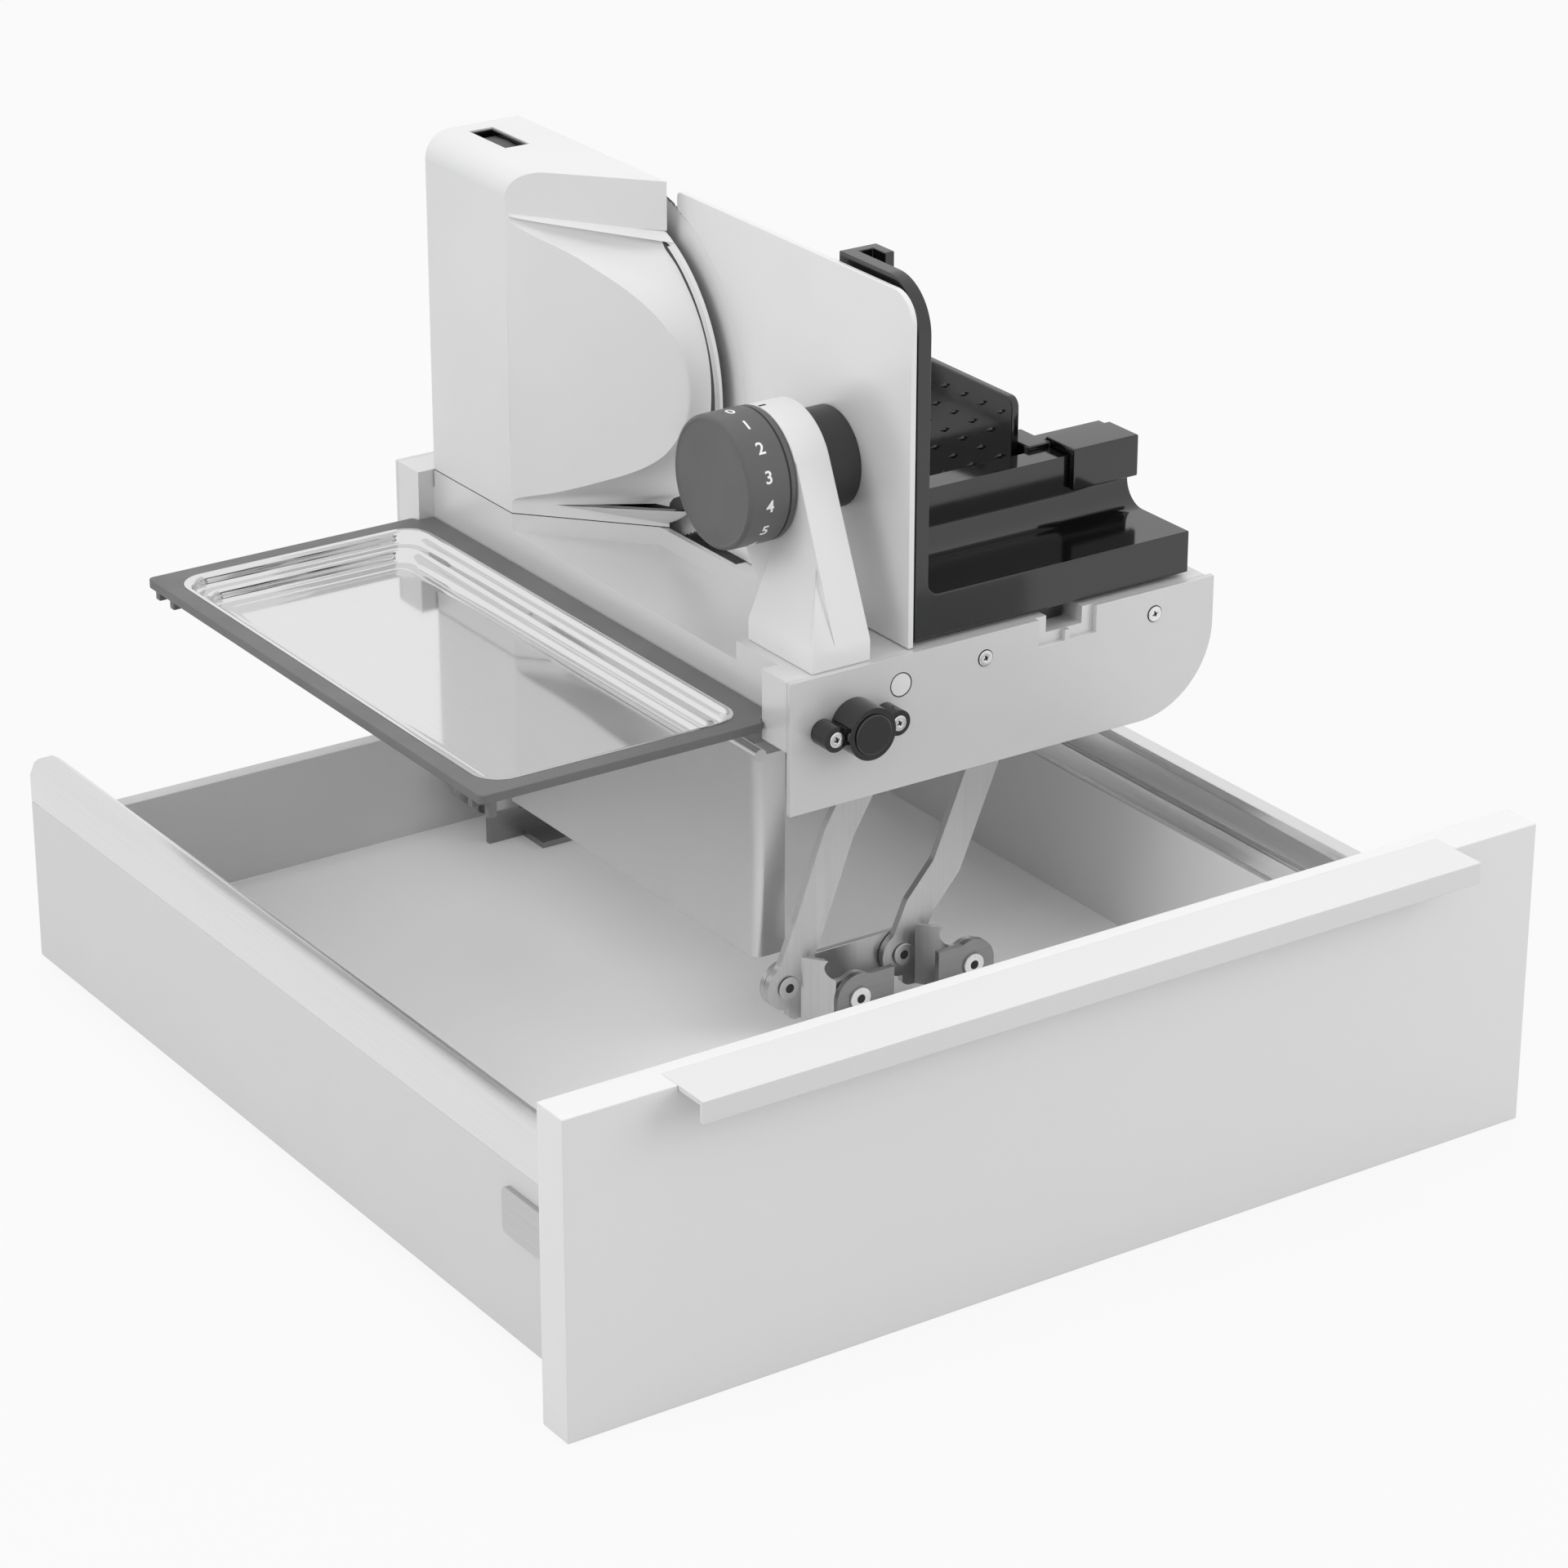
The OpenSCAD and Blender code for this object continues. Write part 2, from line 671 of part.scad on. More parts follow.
module base_plate() difference() {
  union() {
    for (x = [pivot_x, pivot_x + pivot_gap]) {
      cyl_y(x, pivot_z, base_lobe_r, base_y, base_y + base_t, 48);
      box(x - base_lobe_r, x + base_lobe_r, base_y, base_y + base_t, floor_top, pivot_z);
    }
    box(pivot_x, pivot_x + base_shoulder, base_y, base_y + base_t, floor_top,
      pivot_z + base_lobe_r - base_t / 2);
    box(pivot_x + pivot_gap - base_shoulder, pivot_x + pivot_gap, base_y, base_y + base_t,
      floor_top, pivot_z + base_lobe_r - base_t / 2);
    box(pivot_x, pivot_x + pivot_gap, base_y, base_y + base_t, floor_top, floor_top + base_web);
    box(pivot_x - base_lobe_r, pivot_x + pivot_gap + base_lobe_r, base_y + base_t - base_foot,
      base_y + base_t, floor_top, floor_top + base_t);
  }
  for (x = [pivot_x, pivot_x + pivot_gap])
    cyl_y(x, pivot_z, pin_r, base_y - over, base_y + base_t + over, 48);
  for (x = [pivot_x + pivot_gap / 4, pivot_x + pivot_gap * 3 / 4])
    translate([x, base_y + base_t - base_foot / 2 - base_t, floor_top - over])
      cylinder(h = base_t + 2 * over, r = shank_r, $fn = 24);
}
module base_front() color(steel) seat() base_plate();
module base_rear() color(steel) seat() translate([0, rear_shift, 0]) {
  base_plate();
  box(pivot_x - base_rear_reach, pivot_x - base_lobe_r, base_y, base_y + base_t,
    floor_top, floor_top + base_rear_h);
}
module base_pins() color(silver) seat() for (s = [0, rear_shift], d = [0, pivot_gap])
  translate([d, s, 0]) difference() {
    union() {
      cyl_y(pivot_x, pivot_z, pin_r, base_y - head_t, foot_y + arm_t + head_t, 48);
      cyl_y(pivot_x, pivot_z, head_r, base_y - head_t, base_y, 32);
      cyl_y(pivot_x, pivot_z, head_r, foot_y + arm_t + foot_gap, foot_y + arm_t + head_t, 32);
    }
    cyl_y(pivot_x, pivot_z, head_hole, base_y - head_t - over, base_y + base_t, 24);
  }
module floor_screws() color(dark) seat() for (s = [0, rear_shift], d = [1, 3])
  translate([pivot_x + pivot_gap * d / 4, base_y + base_t - base_foot / 2 - base_t + s,
    floor_top + base_t]) {
      cylinder(h = screw_h, r = screw_r, $fn = 24);
      translate([0, 0, -shank_l]) cylinder(h = shank_l, r = shank_r, $fn = 24);
    }

function unit(v) = v / norm(v);
function side_of(p, i) = let (d = unit(p[i + 1] - p[i])) [-d[1], d[0]];
function mitre(p, i) = i == 0 ? side_of(p, 0)
  : i == len(p) - 1 ? side_of(p, i - 1)
  : let (m = side_of(p, i - 1), n = side_of(p, i)) (m + n) / (1 + m * n);
module strip(p, w) polygon(concat(
  [for (i = [0 : len(p) - 1]) p[i] + w / 2 * mitre(p, i)],
  [for (i = [len(p) - 1 : -1 : 0]) p[i] - w / 2 * mitre(p, i)]));
module eased(r) offset(r = r, $fn = 48) offset(r = -2 * r, $fn = 48) offset(r = r, $fn = 48)
  children();
module arm_outline(path) {
  strip(path, arm_w);
  translate(path[len(path) - 1]) circle(r = arm_eye_r, $fn = 96);
  translate(path[0]) circle(r = arm_lobe_r, $fn = 96);
}
module foot_outline(lo) {
  translate([lo[0] + crank_x, lo[1] - crank_z]) circle(r = arm_lobe_r, $fn = 96);
  translate([lo[0], lo[1] - crank_z - arm_lobe_r]) square([crank_x, joggle_h]);
}
module crank_arm(path, fit_low, fit_up) {
  lo = path[0];
  up = path[len(path) - 1];
  difference() {
    union() {
      along_y(arm_y, arm_y + arm_t) eased(bend_r) arm_outline(path);
      intersection() {
        translate([0, 0, lo[1] - crank_z - 2 * arm_lobe_r])
          linear_extrude(crank_z + 2 * arm_lobe_r + foot_rise) polygon([
            [lo[0], arm_y], [lo[0] + joggle_a, arm_y], [lo[0] + joggle_b, foot_y],
            [lo[0] + crank_x + 2 * arm_lobe_r, foot_y],
            [lo[0] + crank_x + 2 * arm_lobe_r, foot_y + arm_t],
            [lo[0] + joggle_b, foot_y + arm_t], [lo[0] + joggle_a, arm_y + arm_t],
            [lo[0], arm_y + arm_t]]);
        along_y(foot_y, arm_y + arm_t) eased(bend_r) {
          arm_outline(path);
          foot_outline(lo);
        }
      }
    }
    cyl_y(lo[0] + crank_x, lo[1] - crank_z, pin_r + pivot_fit, foot_y - over,
      foot_y + arm_t + over, 48);
    cyl_y(lo[0], lo[1], pin_r + fit_low, arm_y - over, arm_y + arm_t + over, 48);
    cyl_y(up[0], up[1], pin_r + fit_up, arm_y - over, arm_y + arm_t + over, 48);
  }
}
module arm_left(fit_low, fit_up) crank_arm([[a_x, a_z], [a_x + left_low_x, a_z + left_low_z],
  [a_x + left_high_x, a_z + left_high_z], [u_x, u_z]], fit_low, fit_up);
module arm_right(fit_low, fit_up) translate([pivot_gap, 0, 0]) crank_arm([[a_x, a_z],
  [a_x + right_low_x, a_z + right_low_z], [a_x + right_mid_x, a_z + right_mid_z], [u_x, u_z]],
  fit_low, fit_up);
module arm_front_left() color(steel) seat() arm_left(pivot_fit, pivot_fit);
module arm_front_right() color(steel) seat() arm_right(open_fit, open_fit);
module arm_rear_left() color(steel) seat() translate([0, rear_shift, 0])
  arm_left(pivot_fit, open_fit);
module arm_rear_right() color(steel) seat() translate([0, rear_shift, 0])
  arm_right(open_fit, open_fit);
module link_body() {
  for (x = [a_x, a_x + pivot_gap]) {
    cyl_y(x, a_z, link_r, link_y, link_y + link_t, 48);
    cyl_y(x, a_z, pin_r, arm_y - foot_gap, link_y, 48);
    difference() {
      cyl_y(x, a_z, head_r, arm_y - head_t, arm_y - foot_gap / 2, 32);
      cyl_y(x, a_z, head_hole, arm_y - head_t - over, arm_y, 24);
    }
  }
  box(a_x, a_x + pivot_gap, link_y, link_y + link_t, a_z - link_r + head_t, a_z + link_r);
}
module link_front() color(steel) seat() link_body();
module link_rear() color(steel) seat() translate([0, rear_shift, 0]) link_body();

module plate_body(y0) along_y(y0, y0 + plate_t) difference() {
  intersection() {
    union() {
      translate([plate_x, plate_z]) square([plate_l - plate_r, deck_z - plate_z]);
      translate([plate_x, plate_z + plate_r]) square([plate_l, deck_z - plate_z - plate_r]);
      translate([plate_right - plate_r, plate_z + plate_r]) circle(r = plate_r, $fn = 96);
    }
    translate([plate_x, plate_z]) square([plate_l, deck_z - plate_z]);
  }
  translate([plate_x + notch_x, deck_z - notch_d]) square([notch_w, notch_d + over]);
}
module plate_front() color(silver) seat() {
  difference() {
    union() {
      plate_body(plate_y);
      box(plate_x, plate_right - plate_t, plate_y, plate_y + plate_t, deck_z - plate_t, deck_z);
    }
    box(plate_x + notch_x, plate_x + notch_x + notch_w, plate_y - over, plate_y + plate_t + over,
      deck_z - notch_d, deck_z + over);
    cyl_y(plate_x + cap_x, deck_z - cap_down, cap_pin_r, plate_y - over, plate_y + plate_t + over, 48);
  }
  box(groove_x - plate_t / 2, groove_x + plate_t / 2, plate_y, plate_y + plate_t,
    deck_z - notch_d, deck_z - groove_d);
}
module plate_rear() color(silver) seat() difference() {
  plate_body(slicer_rear - plate_t);
  cyl_y(plate_x + cap_x, deck_z - cap_down, cap_pin_r, slicer_rear - plate_t - over,
    slicer_rear + over, 48);
}
module fold_pins() color(steel) seat() {
  cyl_y(plate_x + cap_x, deck_z - cap_down, cap_pin_r, plate_y, plate_y + plate_flange, 48);
  cyl_y(plate_x + cap_x, deck_z - cap_down, cap_pin_r, slicer_rear - plate_flange, slicer_rear, 48);
}
module plate_screws() color(silver) seat() for (x = [screw_a, screw_b]) {
  cyl_y(plate_x + x, deck_z - screw_down, screw_r, plate_y - screw_h, plate_y, 24);
  cyl_y(plate_x + x, deck_z - screw_down, screw_r, slicer_rear, slicer_rear + screw_h, 24);
}
module deck() color(silver) seat() {
  front = plate_y + plate_t;
  rear = slicer_rear - plate_t;
  right = plate_right - plate_t;
  difference() {
    union() {
      box(deck_x, right, front, rear, deck_z - deck_t, deck_z);
      box(deck_x, deck_x + deck_t, front, rear, deck_z - deck_wall, deck_z);
      box(right - deck_t, right, front, rear, deck_z - deck_wall, deck_z);
      box(deck_x, right, front, front + deck_t, deck_z - block_l, deck_z);
      box(deck_x, right, rear - deck_t, rear, deck_z - block_l, deck_z);
      translate([0, front, 0]) along_x_block(deck_z - block_h);
      translate([0, rear - block_l, 0]) along_x_block(deck_z - block_rear_h);
      box(groove_x - groove_half - deck_t, groove_x + groove_half + deck_t, front, rear,
        deck_z - groove_d - deck_t, deck_z);
      box(deck_x - ledge_w, deck_x + deck_t, tray_y + 2 * block_l, tray_rear - 2 * block_l,
        tray_z - frame_t - ledge_h, tray_z - frame_t);
      box(deck_x, stop_x + stop_t, front, tower_rear, deck_z - sink_d - deck_t, deck_z - sink_d);
      box(tower_right - deck_t, tower_right, front, rear, deck_z - sink_d - deck_t, deck_z);
      for (s = [0, rear_shift]) box(u_x - cheek_reach, u_x + pivot_gap + cheek_reach,
        arm_y - cheek_gap - cheek_t + s, arm_y + arm_t + cheek_gap + cheek_t + s, under_z, deck_z);
      box(deck_x, tower_right, pad_y - deck_t, pad_y, deck_z - sink_d - deck_t, deck_z);
      translate([0, 0, deck_z - sink_d - deck_t]) linear_extrude(sink_d + deck_t) tower_plan(0, 0);
    }
    difference() {
      box(deck_x - over, tower_right - deck_t, pad_y, rear - block_l, deck_z - sink_d, deck_z + over);
      translate([0, 0, deck_z - 2 * sink_d]) linear_extrude(3 * sink_d) tower_plan(0, 0);
    }
    translate([0, 0, deck_z - 3 * sink_d]) linear_extrude(3 * sink_d - deck_t)
      tower_plan(2 * deck_t, 0);
    box(groove_x - groove_half, groove_x + groove_half, front - over, rear + over,
      deck_z - groove_d, deck_z + over);
    box(tower_right, car_x, axis_y - blade_r - 2 * over, axis_y + blade_r + 2 * over,
      deck_z - 2 * block_l, deck_z + over);
    for (y = [front, rear]) cyl_y(plate_x + cap_x, deck_z - cap_down, cap_pin_r,
      y - plate_flange, y + plate_flange, 48);
  }
}
module along_x_block(z0)
  box(plate_x, deck_x + deck_t, 0, block_l, z0, deck_z);
module cheeks() color(steel) seat() difference() {
  union() for (s = [0, rear_shift]) {
    for (y = [arm_y - cheek_gap - cheek_t, arm_y + arm_t + cheek_gap])
      box(u_x - cheek_reach, u_x + pivot_gap + cheek_reach, y + s, y + cheek_t + s,
        under_z - cheek_h, under_z);
  }
  for (s = [0, rear_shift], x = [u_x, u_x + pivot_gap])
    cyl_y(x, u_z, pin_r, arm_y - 2 * cheek_t - over + s, arm_y + arm_t + 2 * cheek_t + s, 48);
}
module upper_pins() color(silver) seat() for (s = [0, rear_shift], x = [u_x, u_x + pivot_gap])
  cyl_y(x, u_z, pin_r, arm_y - cheek_gap - cheek_t + s, arm_y + arm_t + cheek_gap + cheek_t + s, 48);
module skirt() color(steel) seat() {
  difference() {
    translate([0, 0, skirt_z]) linear_extrude(skirt_top - skirt_z) difference() {
      rounded(skirt_x, skirt_x + skirt_return + skirt_r, skirt_y, skirt_y + skirt_l, skirt_r, 48);
      translate([skirt_t, 0]) rounded(skirt_x, skirt_x + skirt_return + skirt_r,
        skirt_y + skirt_t, skirt_y + skirt_l - skirt_t, skirt_r - skirt_t, 48);
    }
    box(skirt_x + skirt_return, skirt_x + 2 * skirt_return, skirt_y - over,
      skirt_y + skirt_l + over, skirt_z - over, skirt_top + over);
  }
  cyl_y(skirt_x + hem_r, skirt_top, hem_r, skirt_y, skirt_y + skirt_l, 32);
  for (y = [skirt_y + strap_w, skirt_y + skirt_l - 2 * strap_w])
    box(skirt_x + skirt_t, skirt_x + 2 * skirt_t, y, y + strap_w, skirt_top - strap_w,
      deck_z - sink_d - deck_t);
}

module release_case() color(dark) seat() difference() {
  union() {
    cyl_y(plate_x + button_x, deck_z - button_down, button_case_r, plate_y - button_case_l,
      plate_y, 64);
    for (s = [-1, 1])
      cyl_y(plate_x + button_x + s * ear_x, deck_z - button_down, ear_r, plate_y - ear_l, plate_y);
    box(plate_x + button_x - ear_x, plate_x + button_x + ear_x, plate_y - ear_l, plate_y,
      deck_z - button_down - ear_r * 2 / 3, deck_z - button_down + ear_r * 2 / 3);
  }
  cyl_y(plate_x + button_x, deck_z - button_down, button_r + shaft_fit,
    plate_y - button_case_l - over, plate_y - button_wall, 64);
}
module release_button() color(dark) seat()
  cyl_y(plate_x + button_x, deck_z - button_down, button_r,
    plate_y - button_case_l - button_proud, plate_y - button_wall - spring_l, 64);
module release_spring() color(steel) seat() translate([plate_x + button_x,
  plate_y - button_wall - wire_r / 2, deck_z - button_down]) rotate([90, 0, 0])
    linear_extrude(height = spring_l - wire_r, twist = 360 * spring_turns,
      slices = 24 * spring_turns) translate([spring_r, 0]) circle(r = wire_r, $fn = 12);
module case_screws() color(silver) seat() for (s = [-1, 1])
  cyl_y(plate_x + button_x + s * ear_x, deck_z - button_down, screw_r,
    plate_y - ear_l - screw_h, plate_y - ear_l, 24);

module tower_plan(e, f) offset(delta = -e) polygon([[tower_x, tower_rear],
  [tower_x, tower_edge], [tower_right + f, tower_nose - f * (tower_edge - tower_nose)
  / (tower_right - tower_x)], [tower_right + f, tower_rear]]);
module tower_profile(e, right, low) {
  translate([tower_x + tower_r, low]) square([right - tower_x - tower_r, tower_top - e - low]);
  translate([tower_x + e, low]) square([tower_r, tower_top - tower_r - low]);
  translate([tower_x + tower_r, tower_top - tower_r]) circle(r = tower_r - e, $fn = 48);
}
module oblique_face(e) intersection() {
  hull() {
    for (s = face_shares)
      translate([tower_x + s[0] * (tower_right - face_back - tower_x) + e / 2,
        tower_edge - s[0] * (tower_edge - face_nose) + e,
        axis_z + s[1] * (cone_r - e)]) cube(face_rim);
    cyl_x(axis_y, axis_z, cone_r - e, tower_right - face_rim, tower_right, 96);
    box(tower_x + e, tower_right, tower_edge + e, tower_edge + 2 * tower_wall,
      axis_z - cone_r / 2, axis_z + cone_r / 2);
  }
  box(tower_x, tower_right, face_nose - cone_r, tower_edge + 2 * tower_wall, deck_z, tower_top);
}
module tower_solid(e) {
  f = e > 0 ? e + over : 0;
  right = e > 0 ? tower_right + over : tower_right;
  low = e > 0 ? deck_z - over : deck_z;
  translate([0, 0, low]) linear_extrude(ledge_low - e + deck_z - low) tower_plan(e, f);
  intersection() {
    translate([0, 0, tower_top - ledge_high + e]) linear_extrude(ledge_high) tower_plan(e, f);
    along_y(tower_nose, tower_rear) tower_profile(e, right, low);
  }
  along_y(tower_edge + e, tower_rear - e) tower_profile(e, right, low);
  oblique_face(e);
}
module tower() color(silver) seat() difference() {
  tower_solid(0);
  tower_solid(tower_wall);
  cyl_x(axis_y, axis_z, cone_r - 2 * tower_wall, tower_right - 2 * face_rim, tower_right + over, 96);
  box(tower_x + pocket_x, tower_x + pocket_x + pocket_w, tower_rear - pocket_y,
    tower_rear - pocket_y + pocket_l, tower_top - 2 * pocket_d, tower_top + over);
  cyl_y(tower_x + 2 * block_l, deck_z + ledge_low, ear_r + stop_gap / 4, tower_rear - 2 * tower_wall,
    tower_rear + over, 32);
}
module inner_cover() color(dark) seat() difference() {
  translate([tower_right, 0, 0]) along_x(0, cover_t) {
    translate([axis_y, axis_z]) circle(r = cone_r - tower_wall, $fn = 96);
    translate([tower_edge, deck_z + cover_gap])
      square([tower_rear - tower_edge - cover_gap, tower_top - deck_z - tower_r]);
  }
  cyl_x(axis_y, axis_z, bearing_r, tower_right - over, tower_right + cover_t + over, 64);
}
module switch_bezel() color(dark) seat() difference() {
  box(tower_x + pocket_x, tower_x + pocket_x + pocket_w, tower_rear - pocket_y,
    tower_rear - pocket_y + pocket_l, tower_top - pocket_d - bezel_t, tower_top - bezel_t / 2);
  box(tower_x + pocket_x + bezel_t, tower_x + pocket_x + pocket_w - bezel_t,
    tower_rear - pocket_y + bezel_t, tower_rear - pocket_y + pocket_l - bezel_t,
    tower_top - pocket_d, tower_top);
  cyl_x(tower_rear - pocket_y + pocket_l / 2, tower_top - pocket_d + rocker_h / 2 + rocker_fit,
    stub_r + shaft_fit, tower_x + pocket_x - over, tower_x + pocket_x + pocket_w + over, 32);
}
module switch_rocker() color(dark) seat() {
  yc = tower_rear - pocket_y + pocket_l / 2;
  zc = tower_top - pocket_d + rocker_h / 2 + rocker_fit;
  x0 = tower_x + pocket_x + bezel_t + rocker_fit;
  x1 = tower_x + pocket_x + pocket_w - bezel_t - rocker_fit;
  along_x(x0, x1) polygon([[yc - pocket_l / 3, zc + rocker_h / 3], [yc, zc + rocker_h / 2],
    [yc + pocket_l / 3, zc + rocker_h / 3], [yc + pocket_l / 3, zc], [yc, zc - rocker_h / 2],
    [yc - pocket_l / 3, zc]]);
  cyl_x(yc, zc, stub_r, x0 - rocker_fit - bezel_t / 2, x1 + rocker_fit + bezel_t / 2, 32);
}
module motor() color(steel) seat() difference() {
  union() {
    cyl_y(wheel_x + wheel_w / 2, worm_z, motor_r, motor_y, motor_y + motor_l, 64);
    box(wheel_x + wheel_w / 2, tower_right, motor_y + motor_l / 4, motor_y + motor_l * 3 / 4,
      worm_z - motor_r / 2, worm_z + motor_r / 2);
  }
  cyl_y(wheel_x + wheel_w / 2, worm_z, rotor_r + shaft_fit, motor_y - over,
    motor_y + motor_l / 2, 32);
}
module worm() color(steel) seat() {
  xw = wheel_x + wheel_w / 2;
  cyl_y(xw, worm_z, worm_r, axis_y - worm_l / 2, axis_y + worm_l / 2);
  cyl_y(xw, worm_z, rotor_r, axis_y, motor_y + motor_l / 3);
  for (i = [-2 : 2]) cyl_y(xw, worm_z, worm_r + mesh_gap / 2, axis_y + (4 * i - 1) * worm_l / 24,
    axis_y + (4 * i + 1) * worm_l / 24);
}
module drive_wheel() color(light) seat() {
  difference() {
    cyl_x(axis_y, axis_z, wheel_r, wheel_x, wheel_x + wheel_w, 90);
    for (i = [0 : wheel_teeth - 1]) translate([wheel_x - over, axis_y, axis_z])
      rotate([i * 360 / wheel_teeth, 0, 0]) translate([0, wheel_r - worm_r / 4, -worm_r / 8])
        cube([wheel_w + 2 * over, worm_r, worm_r / 4]);
  }
  cyl_x(axis_y, axis_z, shaft_r, wheel_x, blade_x - blade_t - blade_dish, 48);
}
module blade_bearing() color(dark) seat() difference() {
  union() {
    cyl_x(axis_y, axis_z, bearing_r, tower_right + cover_t - bearing_w, tower_right + cover_t, 64);
    cyl_x(axis_y, axis_z, bearing_r + cover_t, tower_right - bearing_w / 2, tower_right, 64);
  }
  cyl_x(axis_y, axis_z, shaft_r + shaft_fit, tower_right - bearing_w, tower_right + 2 * cover_t, 64);
}
module blade() color(silver) seat() translate([blade_x, axis_y, axis_z]) rotate([0, -90, 0])
  difference() {
    rotate_extrude($fn = 120) polygon([[0, blade_dish], [blade_hub, blade_dish],
      [blade_hub + blade_dish, blade_dish / 2], [blade_r - tooth_d, blade_t / 8], [blade_r, 0],
      [blade_r - 2 * blade_dish, blade_t], [blade_hub + 2 * blade_dish, blade_dish / 2 + blade_t],
      [blade_hub + blade_dish, blade_dish + blade_t], [0, blade_dish + blade_t]]);
    for (i = [0 : teeth - 1]) rotate([0, 0, i * 360 / teeth])
      translate([blade_r + tooth_d / 2, 0, -over]) cylinder(h = blade_t + over, r = tooth_d, $fn = 8);
  }

module upright_arm() color(silver) seat() difference() {
  union() {
    along_x(post_x, post_right) hull() {
      translate([dial_y, axis_z]) circle(r = post_r, $fn = 96);
      translate([post_y, deck_z]) square([post_l, post_foot_h]);
    }
    hull() {
      box(post_foot_x, post_right, post_y, post_y + post_l, deck_z, deck_z + post_foot_h);
      box(post_x, post_right, post_y + post_l / 3, post_y + post_l, deck_z + post_slim_h,
        deck_z + post_slim_h + over);
    }
  }
  cyl_x(dial_y, axis_z, boss_r + guide_fit, post_x + post_wall, post_right + over, 96);
  cyl_x(dial_y, axis_z, spindle_r + shaft_fit, post_x - over, post_right, 48);
}
module dial() color(dark) seat() translate([dial_x, dial_y, axis_z]) rotate([0, 90, 0])
  rotate_extrude($fn = 96) polygon([[0, 0], [dial_r - dial_edge, 0], [dial_r, dial_edge],
    [dial_r, dial_w], [dial_r - dial_edge, dial_w], [dial_r - dial_edge, dial_w - dial_edge],
    [0, dial_w - dial_edge]]);
module dial_spindle() color(steel) seat()
  cyl_x(dial_y, axis_z, spindle_r, dial_x + dial_w - dial_edge, post_right + spindle_in, 48);
module stop_guide() color(dark) seat() difference() {
  cyl_x(dial_y, axis_z, boss_r, post_right - boss_in, stop_x, 96);
  cyl_x(dial_y, axis_z, spindle_r + shaft_fit, post_right - boss_in - over, stop_x - post_wall, 48);
}
module stop_plate() color(silver) seat() along_x(stop_x, stop_x + stop_t) difference() {
  union() {
    translate([stop_y + stop_r, deck_z + stop_gap])
      square([axis_y - stop_y - stop_r, stop_top - deck_z - stop_gap]);
    translate([stop_y, deck_z + stop_gap])
      square([stop_r, stop_top - stop_r - deck_z - stop_gap]);
    translate([stop_y + stop_r, stop_top - stop_r]) circle(r = stop_r, $fn = 96);
  }
  translate([axis_y, axis_z]) circle(r = blade_r + blade_gap, $fn = 120);
  translate([tower_nose - blade_gap, deck_z]) square([blade_r, stop_top]);
  translate([axis_y - blade_r * foot_share, deck_z]) square([blade_r, axis_z - deck_z]);
}

module carriage() color(dark) seat() {
  z0 = deck_z + car_gap;
  back = rail_y + rail_w;
  difference() {
    union() {
      box(car_x, car_right, car_y, rail_y + over, z0, rest_z);
      box(car_x, car_right, rail_y, back, z0, rail_top);
      box(car_x, car_right, back - over, car_y + car_l, z0, z0 + table_t);
      box(car_x, car_x + guard_t, car_y, rail_y + rail_w, z0, guard_top - stop_r);
      translate([car_x, 0, 0]) along_x(0, guard_t) {
        translate([car_y + stop_r, z0]) square([back - car_y - stop_r, guard_top - z0]);
        translate([car_y + stop_r, guard_top - stop_r]) circle(r = stop_r, $fn = 96);
      }
      box(car_x, hook_x, back - hook_t, back, z0, guard_top);
      box(hook_x - hook_t, hook_x, back - hook_y, back, rail_top - over, guard_top);
      difference() {
        box(car_x + guard_t - over, car_x + guard_t + guard_fillet, car_y, rail_y, rest_z - over,
          rest_z + guard_fillet);
        cyl_y(car_x + guard_t + guard_fillet, rest_z + guard_fillet, guard_fillet, car_y - over,
          rail_y + over, 48);
      }
      difference() {
        box(car_x + guard_t - over, car_right, rail_y - cove_r, rail_y + over, rest_z - over,
          rest_z + cove_r);
        cyl_x(rail_y - cove_r, rest_z + cove_r, cove_r, car_x, car_right + over, 64);
      }
      box(groove_x - keel_half, groove_x + keel_half, car_y, car_y + car_l, deck_z - keel_d,
        z0 + over);
    }
    box(car_x + guard_t, car_right - guard_t, car_y + guard_t, rail_y - guard_t, z0 - over,
      rest_z - table_t);
  }
}
module pusher_plate() color(dark) seat() {
  z0 = deck_z + car_gap + table_t + stop_gap;
  along_x(push_x, push_x + push_t) rounded(push_y, push_y + push_l, z0, push_top, push_r, 48);
  for (i = [0 : 6], j = [0 : 4]) {
    y = push_y + spike_gap * (i + row_share + (j % 2) / 2);
    if (y < push_y + push_l - spike_gap / 2)
      translate([push_x, y, push_top - spike_gap * (j * rise_share + row_share)])
        rotate([0, -90, 0])
        cylinder(h = spike_l, r1 = spike_r, r2 = spike_r / 4, $fn = 16);
  }
}
module pusher_grip() color(dark) seat() {
  back = rail_y + rail_w;
  difference() {
    box(grip_x, grip_x + grip_l, grip_y, grip_y + grip_w, grip_z, grip_top);
    box(grip_x - over, grip_x + grip_l + over, rail_y - grip_fit, back + grip_fit, grip_z - over,
      rail_top + grip_fit);
  }
  box(push_x + push_t, grip_x + grip_l, back + grip_fit, push_y + push_t, rail_top - 2 * push_t,
    rail_top + grip_fit + push_t / 2);
  box(push_x + push_t, grip_x, push_y, push_y + spike_gap, rail_top - 2 * push_t,
    rail_top + grip_fit + push_t / 2);
}

